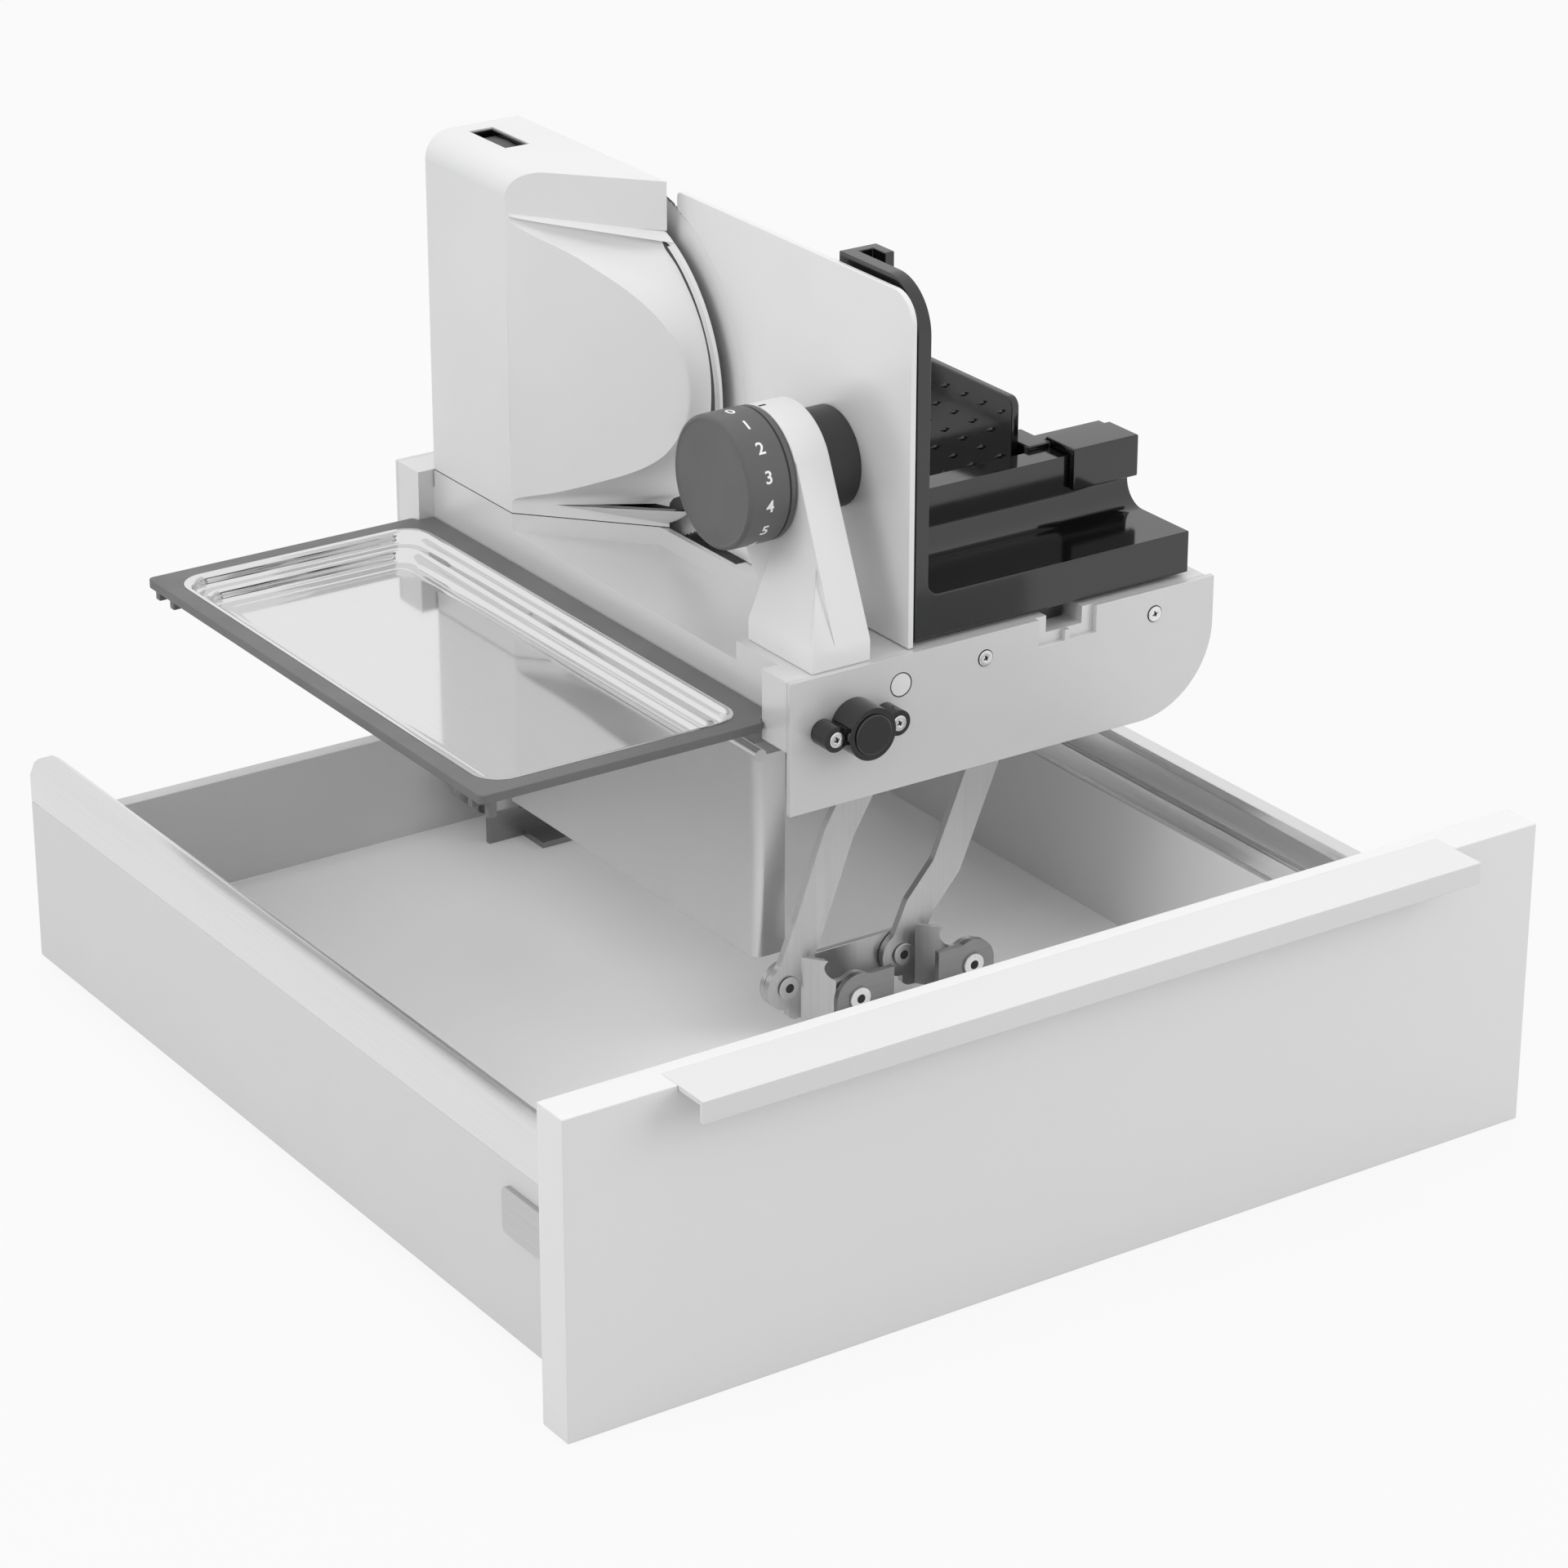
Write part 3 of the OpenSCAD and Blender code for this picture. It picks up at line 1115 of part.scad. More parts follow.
module tray_frame() color(dark) seat() {
  difference() {
    union() {
      translate([0, 0, tray_z - frame_t]) linear_extrude(frame_t)
        rounded(tray_x, plate_x - tongue_gap, tray_y, tray_rear, frame_r, 32);
      box(plate_x - 2 * frame_r, tray_tongue, plate_y + plate_t + block_l + tongue_gap,
        slicer_rear - plate_t - block_l - tongue_gap, tray_z - frame_t, tray_z);
    }
    translate([0, 0, tray_z - frame_t - over]) linear_extrude(frame_t + 2 * over)
      rounded(tray_x + frame_w, plate_x - frame_w / 2, tray_y + frame_w, tray_rear - frame_w,
        pan_r, 48);
  }
  for (y = [tray_y, tray_y + foot_pitch, tray_rear - foot_w, tray_rear - foot_w - foot_pitch])
    box(tray_x + foot_w, tray_x + 2 * foot_w, y, y + foot_w, tray_z - frame_t - foot_drop,
      tray_z - frame_t);
}
module pan_shape(e) rounded(tray_x + frame_w + e, plate_x - frame_w / 2 - e,
  tray_y + frame_w + e, tray_rear - frame_w - e, pan_r - e / 2, 48);
module tray_pan() color(steel) seat() difference() {
  union() {
    translate([0, 0, tray_z - pan_step_d]) linear_extrude(pan_step_d) pan_shape(0);
    translate([0, 0, tray_z - pan_d]) linear_extrude(pan_d - pan_step_d + pan_t)
      pan_shape(pan_step);
  }
  translate([0, 0, tray_z - pan_step_d + pan_t]) linear_extrude(pan_step_d) pan_shape(pan_t);
  translate([0, 0, tray_z - pan_d + pan_t]) linear_extrude(pan_d) pan_shape(pan_step + pan_t);
}
module cord_gland() color(dark) seat() difference() {
  union() {
    cyl_y(tower_x + 2 * block_l, deck_z + ledge_low, ear_r, tower_rear - tower_wall,
      tower_rear + ear_r, 32);
    cyl_y(tower_x + 2 * block_l, deck_z + ledge_low, button_r - wire_r, tower_rear, tower_rear + shank_r, 32);
  }
  cyl_y(tower_x + 2 * block_l, deck_z + ledge_low, pin_r, tower_rear - ear_r,
    tower_rear + 2 * ear_r, 32);
}

front_panel();
front_pull();
side_left();
side_right();
cap_left();
cap_right();
drawer_floor();
drawer_back();
front_clips();
base_front();
base_rear();
base_pins();
floor_screws();
arm_front_left();
arm_front_right();
arm_rear_left();
arm_rear_right();
link_front();
link_rear();
deck();
plate_front();
plate_rear();
cheeks();
upper_pins();
skirt();
plate_screws();
fold_pins();
release_case();
case_screws();
release_button();
release_spring();
tower();
inner_cover();
switch_bezel();
switch_rocker();
motor();
worm();
drive_wheel();
blade_bearing();
blade();
upright_arm();
dial();
dial_spindle();
stop_guide();
stop_plate();
carriage();
pusher_plate();
pusher_grip();
tray_frame();
tray_pan();
cord_gland();
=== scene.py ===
"""A built-in food slicer in its drawer: materials, modelled details, light and camera round the frame."""
import json
import math

import bmesh
import bpy
from mathutils import Matrix, Vector

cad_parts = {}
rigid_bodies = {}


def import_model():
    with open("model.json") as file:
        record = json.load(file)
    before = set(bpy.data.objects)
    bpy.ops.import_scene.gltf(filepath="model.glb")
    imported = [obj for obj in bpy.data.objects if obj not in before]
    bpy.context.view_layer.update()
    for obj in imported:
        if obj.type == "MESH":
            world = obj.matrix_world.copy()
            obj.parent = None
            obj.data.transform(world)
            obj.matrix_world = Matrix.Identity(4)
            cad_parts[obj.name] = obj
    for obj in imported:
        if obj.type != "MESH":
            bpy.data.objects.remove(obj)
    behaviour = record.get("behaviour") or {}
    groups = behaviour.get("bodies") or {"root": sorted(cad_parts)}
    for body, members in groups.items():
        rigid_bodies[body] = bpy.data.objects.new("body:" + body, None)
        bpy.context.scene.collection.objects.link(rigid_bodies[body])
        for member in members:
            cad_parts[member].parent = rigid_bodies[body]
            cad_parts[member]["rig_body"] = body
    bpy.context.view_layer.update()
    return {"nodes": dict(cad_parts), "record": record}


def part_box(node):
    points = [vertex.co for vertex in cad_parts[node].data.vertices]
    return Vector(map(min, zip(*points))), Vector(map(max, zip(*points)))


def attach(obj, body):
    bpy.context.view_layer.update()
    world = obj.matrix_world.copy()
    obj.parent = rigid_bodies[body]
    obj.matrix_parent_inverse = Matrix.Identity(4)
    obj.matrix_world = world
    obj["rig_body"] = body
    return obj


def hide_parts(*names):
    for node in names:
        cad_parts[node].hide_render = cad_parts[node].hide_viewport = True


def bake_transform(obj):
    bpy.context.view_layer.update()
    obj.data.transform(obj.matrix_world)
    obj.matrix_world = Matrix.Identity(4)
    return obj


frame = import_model()
NODES = frame["nodes"]
BODY_OF = {n: o["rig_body"] for n, o in NODES.items()}
SLOT_OF = {s["node"]: s["material_slot"] for s in frame["record"]["subparts"]}
MM = 0.001
ORIGIN = (248.0, 255.65, 0.0)       # the row frame's origin in the measuring frame, in millimetres
BLADE_Y, BLADE_Z = 407.0, 277.8     # the blade's axis
PANEL_X, PANEL_Y = 241.0, 433.0     # the upright edge of the housing's oblique panel
WELD = 2e-6                         # corners nearer than this, in metres, are one


def at(x, y, z):
    """A point of the measuring frame, in millimetres, as a point of the row frame in metres."""
    return Vector(((x - ORIGIN[0]) * MM, (y - ORIGIN[1]) * MM, z * MM))


def box_mm(node):
    """The two corners of a node's box, in the measuring frame."""
    return [[c / MM + o for c, o in zip(corner, ORIGIN)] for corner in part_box(node)]


# ---------------------------------------------------------------- camera
# solved from the drawer's right-angled edges; the angles are in radians
AZIMUTH, ELEVATION, ROLL = -0.5946532772, 0.4153113935, -0.0015168945
FOCAL_PX, PHOTO_PX, SENSOR_MM = 6044.3646, 1920, 36
CAMERA_AT = (-867.0227, -1433.0703, 1022.1876)


def add_camera():
    az, el, roll = AZIMUTH, ELEVATION, ROLL
    back = Vector((math.sin(az) * math.cos(el), -math.cos(az) * math.cos(el), math.sin(el)))
    right = (-back).cross(Vector((0, 0, 1))).normalized()
    down = (-back).cross(right)
    c, s = math.cos(roll), math.sin(roll)
    x_axis = c * right + s * down
    y_axis = s * right - c * down
    data = bpy.data.cameras.new("camera")
    data.sensor_width = SENSOR_MM
    data.lens = FOCAL_PX / PHOTO_PX * SENSOR_MM
    data.clip_end = 20
    cam = bpy.data.objects.new("camera", data)
    bpy.context.scene.collection.objects.link(cam)
    m = Matrix((x_axis, y_axis, back)).transposed().to_4x4()
    m.translation = at(*CAMERA_AT)
    cam.matrix_world = m
    bpy.context.scene.camera = cam


# ---------------------------------------------------------------- materials
NOISE_LOW, NOISE_HIGH = 0.3, 0.7    # the middle part of a noise, over which a value runs


class Mat:
    """A node-based material with short helpers."""

    def __init__(self, name, colour, rough, metal=0.0, **sockets):
        self.mat = bpy.data.materials.new(name)
        self.mat.use_nodes = True
        self.mat.diffuse_color = (*colour, 1)
        self.tree = self.mat.node_tree
        self.shader = self.tree.nodes["Principled BSDF"]
        self.shader.inputs["Base Color"].default_value = (*colour, 1)
        self.shader.inputs["Roughness"].default_value = rough
        self.shader.inputs["Metallic"].default_value = metal
        for k, val in sockets.items():
            self.shader.inputs[k.replace("_", " ")].default_value = val
        self.colour, self.rough = colour, rough
        self.height = None

    def node(self, kind, **attrs):
        """A new node of the kind, with its attributes set."""
        n = self.tree.nodes.new(kind)
        for k, val in attrs.items():
            setattr(n, k, val)
        return n

    def link(self, a, b):
        self.tree.links.new(a, b)

    def noise(self, scale, detail=3.0, stretch=(1, 1, 1), rough=0.5, offset=(0, 0, 0)):
        """Noise over the object's own coordinates."""
        tc = self.node("ShaderNodeTexCoord")
        mp = self.node("ShaderNodeMapping")
        mp.inputs["Scale"].default_value = stretch
        mp.inputs["Location"].default_value = offset
        n = self.node("ShaderNodeTexNoise")
        n.inputs["Scale"].default_value = scale
        n.inputs["Detail"].default_value = detail
        n.inputs["Roughness"].default_value = rough
        self.link(tc.outputs["Object"], mp.inputs["Vector"])
        self.link(mp.outputs["Vector"], n.inputs["Vector"])
        return n.outputs["Fac"]

    def span(self, fac, low, high):
        """The factor's middle part, spread over low to high."""
        m = self.node("ShaderNodeMapRange")
        m.inputs["From Min"].default_value = NOISE_LOW
        m.inputs["From Max"].default_value = NOISE_HIGH
        m.inputs["To Min"].default_value = low
        m.inputs["To Max"].default_value = high
        self.link(fac, m.inputs["Value"])
        return m.outputs["Result"]

    def vary_rough(self, fac, amount):
        """Roughness that wanders by the amount round its plain value."""
        self.link(self.span(fac, self.rough - amount, self.rough + amount), self.shader.inputs["Roughness"])

    def vary_colour(self, fac, dark, light):
        """Colour between a dark and a light share of its plain value."""
        r = self.node("ShaderNodeValToRGB")
        r.color_ramp.elements[0].position = NOISE_LOW
        r.color_ramp.elements[1].position = NOISE_HIGH
        r.color_ramp.elements[0].color = (*[c * dark for c in self.colour], 1)
        r.color_ramp.elements[1].color = (*[min(1, c * light) for c in self.colour], 1)
        self.link(fac, r.inputs["Fac"])
        self.link(r.outputs["Color"], self.shader.inputs["Base Color"])

    def bump(self, fac, strength, distance):
        """One more layer of bump over the ones before."""
        n = self.node("ShaderNodeBump")
        n.inputs["Strength"].default_value = strength
        n.inputs["Distance"].default_value = distance
        self.link(fac, n.inputs["Height"])
        if self.height:
            self.link(self.height, n.inputs["Normal"])
        self.height = n.outputs["Normal"]
        self.link(self.height, self.shader.inputs["Normal"])


def grey(value, blue=0.0):
    return value, value, value + blue


def painted(name, colour, rough=0.35, metal=0.0, flake=0.02, peel=0.03):
    """A sprayed or powder-coated surface with a fine orange peel."""
    m = Mat(name, colour, rough, metal)
    m.vary_colour(m.noise(9, 4), 1 - flake, 1 + flake)
    m.vary_rough(m.noise(28, 4, offset=(3, 1, 2)), rough * 0.12)
    m.bump(m.noise(420, 2), peel, 0.0001)
    m.bump(m.noise(2600, 2, offset=(1, 5, 2)), peel * 2, 0.00005)
    return m.mat


def brushed(name, colour, rough=0.3, along="x", scale=1500, depth=0.05, tint=0.03):
    """Metal with fine streaks along one axis."""
    m = Mat(name, colour, rough, 1.0)
    stretch = {"x": (0.012, 1, 1), "y": (1, 0.012, 1), "z": (1, 1, 0.012)}[along]
    streak = m.noise(scale, 3, stretch, 0.6)
    m.vary_colour(streak, 1 - tint, 1 + tint)
    m.vary_rough(m.noise(scale * 0.6, 3, stretch, 0.6, (2, 3, 1)), rough * 0.2)
    m.bump(streak, depth, 0.00002)
    m.bump(m.noise(9, 2), 0.04, 0.0006)
    return m.mat


def turned(name, colour, rough=0.28):
    """Plain machined metal."""
    m = Mat(name, colour, rough, 1.0)
    f = m.noise(700, 3)
    m.vary_colour(f, 0.93, 1.05)
    m.vary_rough(m.noise(90, 3), rough * 0.25)
    m.bump(f, 0.08, 0.00004)
    return m.mat


def plastic(name, colour, rough, grain=0.15, **sockets):
    """Moulded plastic with a fine grain."""
    m = Mat(name, colour, rough, 0.0, **sockets)
    m.vary_colour(m.noise(14, 3), 0.92, 1.08)
    m.vary_rough(m.noise(40, 3, offset=(2, 1, 1)), rough * 0.18)
    m.bump(m.noise(2400, 2), grain, 0.00006)
    return m.mat


def satin(name, colour, rough, metal):
    """A dull ground surface."""
    m = Mat(name, colour, rough, metal)
    m.vary_rough(m.noise(400, 3), 0.05)
    return m.mat


M = {}


def make_materials():
    """A material for each slot of the record, and five more for marks, painted shade and trim."""
    M["front_lacquer"] = painted("front_lacquer", grey(0.78, 0.002), 0.4, flake=0.001, peel=0.0)
    M["pull_steel"] = painted("pull_steel", grey(0.72, 0.003), 0.4, flake=0.001, peel=0.0)
    M["side_white"] = painted("side_white", grey(0.67), 0.4, flake=0.003, peel=0.005)
    M["rail_steel"] = brushed("rail_steel", grey(0.74, 0.005), 0.24, "y", 1200, 0.03, 0.015)
    M["floor_board"] = painted("floor_board", grey(0.98), 0.45, flake=0.002, peel=0.004)
    M["back_board"] = painted("back_board", grey(0.62), 0.42, flake=0.01)
    M["clip_steel"] = brushed("clip_steel", grey(0.55), 0.35, "y")
    M["bracket_steel"] = brushed("bracket_steel", grey(0.30), 0.34, "x", 1100)
    M["pin_steel"] = turned("pin_steel", grey(0.82), 0.22)
    M["screw_steel"] = turned("screw_steel", grey(0.80), 0.25)
    M["arm_steel"] = brushed("arm_steel", grey(0.58, 0.004), 0.36, "z", 1100, 0.03)
    M["deck_paint"] = painted("deck_paint", grey(0.71, 0.004), 0.33, 0.3)
    M["side_plate_paint"] = painted("side_plate_paint", grey(0.66, 0.004), 0.33, 0.3)
    M["skirt_steel"] = painted("skirt_steel", grey(0.72, 0.003), 0.36, 0.8, flake=0.002, peel=0.0)
    M["black_gloss"] = plastic("black_gloss", grey(0.005, 0.0005), 0.1, 0.006, IOR=1.7)
    M["spring_steel"] = turned("spring_steel", grey(0.6))
    M["housing_paint"] = painted("housing_paint", grey(0.74, 0.004), 0.48, 0.1)
    M["dark_plastic"] = plastic("dark_plastic", grey(0.03, 0.001), 0.42)
    M["motor_steel"] = turned("motor_steel", grey(0.5), 0.4)
    M["worm_steel"] = turned("worm_steel", grey(0.6), 0.3)
    M["wheel_plastic"] = plastic("wheel_plastic", (0.7, 0.68, 0.6), 0.45)
    M["blade_steel"] = turned("blade_steel", grey(0.88, 0.004), 0.16)
    M["dial_plastic"] = plastic("dial_plastic", grey(0.10, 0.002), 0.42)
    M["stop_steel"] = painted("stop_steel", grey(0.79, 0.004), 0.32, 0.3)
    M["pan_steel"] = brushed("pan_steel", grey(0.80, 0.004), 0.07, "y", 900, 0.01, 0.01)
    M["digit_white"] = plastic("digit_white", grey(0.85), 0.5)
    M["tray_plastic"] = plastic("tray_plastic", grey(0.13, 0.001), 0.45)
    M["cap_paint"] = painted("cap_paint", grey(0.76, 0.003), 0.4, flake=0.002)
    M["ground_steel"] = satin("ground_steel", grey(0.86, 0.004), 0.42, 0.2)
    # near-black for the printed tick on the arm, and painted shade: the seam under the housing, the screws'
    # recess floors and rings, the rivet bores and the rings round the caps
    M["mark_and_shade_dark"] = plastic("mark_and_shade_dark", grey(0.015), 0.6)


# ---------------------------------------------------------------- mesh helpers
def new_object(name, mesh):
    o = bpy.data.objects.new(name, mesh)
    bpy.context.scene.collection.objects.link(o)
    return o


def object_from(name, bm):
    """A new object of the mesh, which is used up."""
    me = bpy.data.meshes.new(name)
    bm.to_mesh(me)
    bm.free()
    return new_object(name, me)


def node_mesh(node):
    """A node's own mesh with the doubled corners of its triangles merged."""
    bm = bmesh.new()
    bm.from_mesh(NODES[node].data)
    bmesh.ops.remove_doubles(bm, verts=bm.verts, dist=WELD)
    return bm


def split(bm, co, no):
    """Cuts all faces along a plane."""
    bmesh.ops.bisect_plane(bm, geom=bm.verts[:] + bm.edges[:] + bm.faces[:],
                           plane_co=co, plane_no=no, dist=1e-7)


def settle(o, node=None, body=None, slot=None, mat=None):
    """Rides the piece, gives it its material, its slot's unless another is given, and hides the node it stands
    for.
    """
    slot = slot or SLOT_OF.get(node)
    o.data.materials.clear()
    o.data.materials.append(mat or M[slot])
    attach(o, body or BODY_OF[node])
    if node:
        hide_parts(node)
    return o


def apply_modifiers(o):
    """Bakes the object's modifiers into its mesh."""
    bpy.context.view_layer.update()
    dg = bpy.context.evaluated_depsgraph_get()
    me = bpy.data.meshes.new_from_object(o.evaluated_get(dg))
    o.modifiers.clear()
    o.data = me


def smooth_faces(o, angle=45):
    """Smooth shading that keeps large faces flat and edges over the angle sharp."""
    o.data.shade_smooth()
    o.data.set_sharp_from_angle(angle=math.radians(angle))
    mod = o.modifiers.new("normals", "WEIGHTED_NORMAL")
    mod.keep_sharp = True
    mod.weight = 60
    apply_modifiers(o)


def bevel(o, width, segments, angle=30):
    """Rounds the edges sharper than the angle by width millimetres."""
    mod = o.modifiers.new("bevel", "BEVEL")
    mod.width = width * MM
    mod.segments = segments
    mod.limit_method = "ANGLE"
    mod.angle_limit = math.radians(angle)
    apply_modifiers(o)


def carve(o, tool, use_self=False):
    """Cuts the tool out of the object and deletes the tool."""
    mod = o.modifiers.new("carve", "BOOLEAN")
    mod.operation = "DIFFERENCE"
    mod.solver = "EXACT"
    mod.use_self = use_self
    mod.object = tool
    apply_modifiers(o)
    bpy.data.objects.remove(tool)


def from_bmesh(name, bm, angle=35, width=0.0):
    """A finished object of the mesh, with smooth faces and, where a width is given, round edges."""
    bmesh.ops.recalc_face_normals(bm, faces=bm.faces)
    o = object_from(name, bm)
    if width:
        bevel(o, width, 2)
    smooth_faces(o, angle)
    return o


def loft(bm, rings, cap_first=False, cap_last=False):
    """Faces between closed rings of points in metres."""
    rows = [[bm.verts.new(p) for p in ring] for ring in rings]
    for a, b in zip(rows, rows[1:]):
        n = len(a)
        for i in range(n):
            bm.faces.new((a[i], a[(i + 1) % n], b[(i + 1) % n], b[i]))
    if cap_first:
        bm.faces.new(list(reversed(rows[0])))
    if cap_last:
        bm.faces.new(rows[-1])
    return rows


def rounded_ring(x0, x1, y0, y1, r, z, n=10):
    """A rectangle with corners of radius r, each in n steps."""
    pts = []
    for cx, cy, a0 in ((x1 - r, y1 - r, 0), (x0 + r, y1 - r, 90),
                       (x0 + r, y0 + r, 180), (x1 - r, y0 + r, 270)):
        for i in range(n + 1):
            a = math.radians(a0 + 90 * i / n)
            pts.append((cx + r * math.cos(a), cy + r * math.sin(a), z))
    return pts


def lathe_ring(centre, axis, along, radius, segs):
    """A circle round an axis ('x', '-y', 'y') at a distance along it; centre in the measuring frame."""
    out = []
    for i in range(segs):
        t = 2 * math.pi * i / segs
        c, k = radius * math.cos(t), radius * math.sin(t)
        x, y, z = centre
        if axis == "x":
            out.append(at(x + along, y - c, z + k))
        elif axis == "y":
            out.append(at(x + c, y + along, z + k))
        else:
            out.append(at(x + c, y - along, z + k))
    return out


def lathe(bm, centre, axis, profile, segs, caps=(True, True)):
    """A turned solid from pairs of distance along the axis and radius."""
    loft(bm, [lathe_ring(centre, axis, a, r, segs) for a, r in profile], *caps)


def islands(node):
    """The boxes, in the measuring frame, of a node's separate solids."""
    bm = node_mesh(node)
    left, out = set(bm.verts), []
    while left:
        stack = [left.pop()]
        got = []
        while stack:
            v = stack.pop()
            got.append(v.co.copy())
            for e in v.link_edges:
                w = e.other_vert(v)
                if w in left:
                    left.discard(w)
                    stack.append(w)
        out.append([[end(c[k] for c in got) / MM + ORIGIN[k] for k in range(3)] for end in (min, max)])
    bm.free()
    return sorted(out)


def bevelled(node, width=0.6, segments=2, angle=30, name=None, settle_it=True):
    """A copy of a CAD node with its edges rounded by width millimetres."""
    bm = node_mesh(node)
    bmesh.ops.dissolve_limit(bm, angle_limit=math.radians(0.6), verts=bm.verts, edges=bm.edges)
    o = object_from(name or node + "_finish", bm)
    if width:
        bevel(o, width, segments, angle)
    smooth_faces(o, 55 if width else 32)
    return settle(o, node) if settle_it else o


# ---------------------------------------------------------------- pieces
# the nodes that keep their form and get round edges, with the width in millimetres
WIDTHS = {"front_panel": 0.6, "front_pull": 0.35, "side_left": 0.5, "side_right": 0.5,
          "cap_left": 0.9, "cap_right": 0.9, "drawer_back": 0.5, "front_clips": 0.6,
          "base_front": 0.5, "base_rear": 0.5, "base_pins": 0.3, "floor_screws": 0.3,
          "arm_front_left": 0.5, "arm_front_right": 0.5, "arm_rear_left": 0.5,
          "arm_rear_right": 0.5, "link_front": 0.5, "link_rear": 0.5, "deck": 0.9,
          "plate_front": 0.6, "plate_rear": 0.6, "cheeks": 0.4, "skirt": 0.2,
          "release_case": 1.0, "release_button": 0.8, "switch_bezel": 0.3,
          "switch_rocker": 0.4, "upright_arm": 1.4, "stop_guide": 0.6, "pusher_grip": 1.1,
          "tray_frame": 0.8, "cord_gland": 0.3, "fold_pins": 0.3}
# the pieces whose finish isn't their slot's
OWN = {"tray_frame": "tray_plastic", "fold_pins": "cap_paint"}

CORNERS = ((-1, -1), (1, -1), (1, 1), (-1, 1))
BAR_FACES = ((0, 1, 2, 3), (7, 6, 5, 4), (0, 4, 5, 1), (1, 5, 6, 2), (2, 6, 7, 3), (3, 7, 4, 0))
CROSS_TURN = 20


def mark(name, bm, body, angle=35, slot="dark_plastic"):
    """Settles a dark mark, or a line or patch of painted shade, that stands for no node."""
    settle(from_bmesh(name, bm, angle), body=body, slot=slot, mat=M["mark_and_shade_dark"])


def thin_ring(r, wide, high):
    """The profile of a flat ring round a disc of radius r."""
    return [(0.0, r + wide), (high, r + wide), (high, r - 0.1), (0.0, r - 0.1)]


def cross_bar(bm, x, z, turn, ends, half):
    """One bar of a cross recess: the y and half the length at both ends, and half the width."""
    a = math.radians(turn)
    u, w = Vector((math.cos(a), 0, math.sin(a))), Vector((-math.sin(a), 0, math.cos(a)))
    pts = []
    for y, reach in ends:
        for i, j in CORNERS:
            q = u * (i * reach) + w * (j * half)
            pts.append(bm.verts.new(at(x + q.x, y, z + q.z)))
    for f in BAR_FACES:
        bm.faces.new([pts[i] for i in f])


def screws(node):
    """Countersunk heads with a carved cross recess, a dark cross of painted shade on each recess's floor, and
    a thin ring of painted shadow round each head.
    """
    heads, rings, cuts, recess_shade_bars = bmesh.new(), bmesh.new(), bmesh.new(), bmesh.new()
    boxes = islands(node)
    middle = sum((lo[1] + hi[1]) / 2 for lo, hi in boxes) / len(boxes)
    for lo, hi in boxes:
        x, z, r = (lo[0] + hi[0]) / 2, (lo[2] + hi[2]) / 2, (hi[0] - lo[0]) / 2
        t = hi[1] - lo[1]
        front = (lo[1] + hi[1]) / 2 <= middle + 1
        axis, base = ("-y", hi[1]) if front else ("y", lo[1])

        def level(share):
            return hi[1] - t * share if front else lo[1] + t * share
        lathe(heads, (x, base, z), axis,
              [(0.02, r), (t * 0.55, r), (t * 0.85, r * 0.93), (t, r * 0.72)], 40)
        lathe(rings, (x, base, z), axis, thin_ring(r, 0.45, 0.06), 40, (False, False))
        for turn in (CROSS_TURN, CROSS_TURN + 90):
            cross_bar(cuts, x, z, turn, ((level(1.01), r * 0.55), (level(0.35), r * 0.55 * 0.45)), r * 0.13)
            # a dark cross of painted shade on the floor of the recess
            cross_bar(recess_shade_bars, x, z, turn, ((level(0.62), r * 0.42), (level(0.45), r * 0.42)), r * 0.125)
    o = from_bmesh(node + "_heads", heads, 30)
    bmesh.ops.recalc_face_normals(cuts, faces=cuts.faces)
    carve(o, object_from("cross", cuts), True)
    o.data.shade_smooth()
    o.data.set_sharp_from_angle(angle=math.radians(30))
    settle(o, node)
    mark(node + "_recess_shade", recess_shade_bars, BODY_OF[node])
    mark(node + "_shadow_rings", rings, BODY_OF[node])


KNOB = (233.6, 251.0, 277.8)        # the centre of the knob's front
KNOB_R = 30.25
KNOB_PROFILE = [(0.6, 0.4), (0.55, 14), (0.45, 27.4), (0.1, 27.9), (0.0, 28.4), (0.15, 29.1),
                (0.7, 29.8), (1.6, 30.15), (2.8, KNOB_R), (20.6, KNOB_R), (21.0, 30.0), (21.2, 29.2),
                (21.9, 29.2), (22.1, 30.0), (22.5, 30.15), (24.2, 30.1), (24.6, 29.7), (24.6, 6)]
MARK_ANGLE, STEP_ANGLE = 92.0, 25   # where the mark stands, and the turn for each figure, in degrees
FIGURES = 13                        # 0 to 12
FIGURE_X, FIGURE_OUT = 10.8, 0.04   # their distance from the knob's front, and how proud they stand


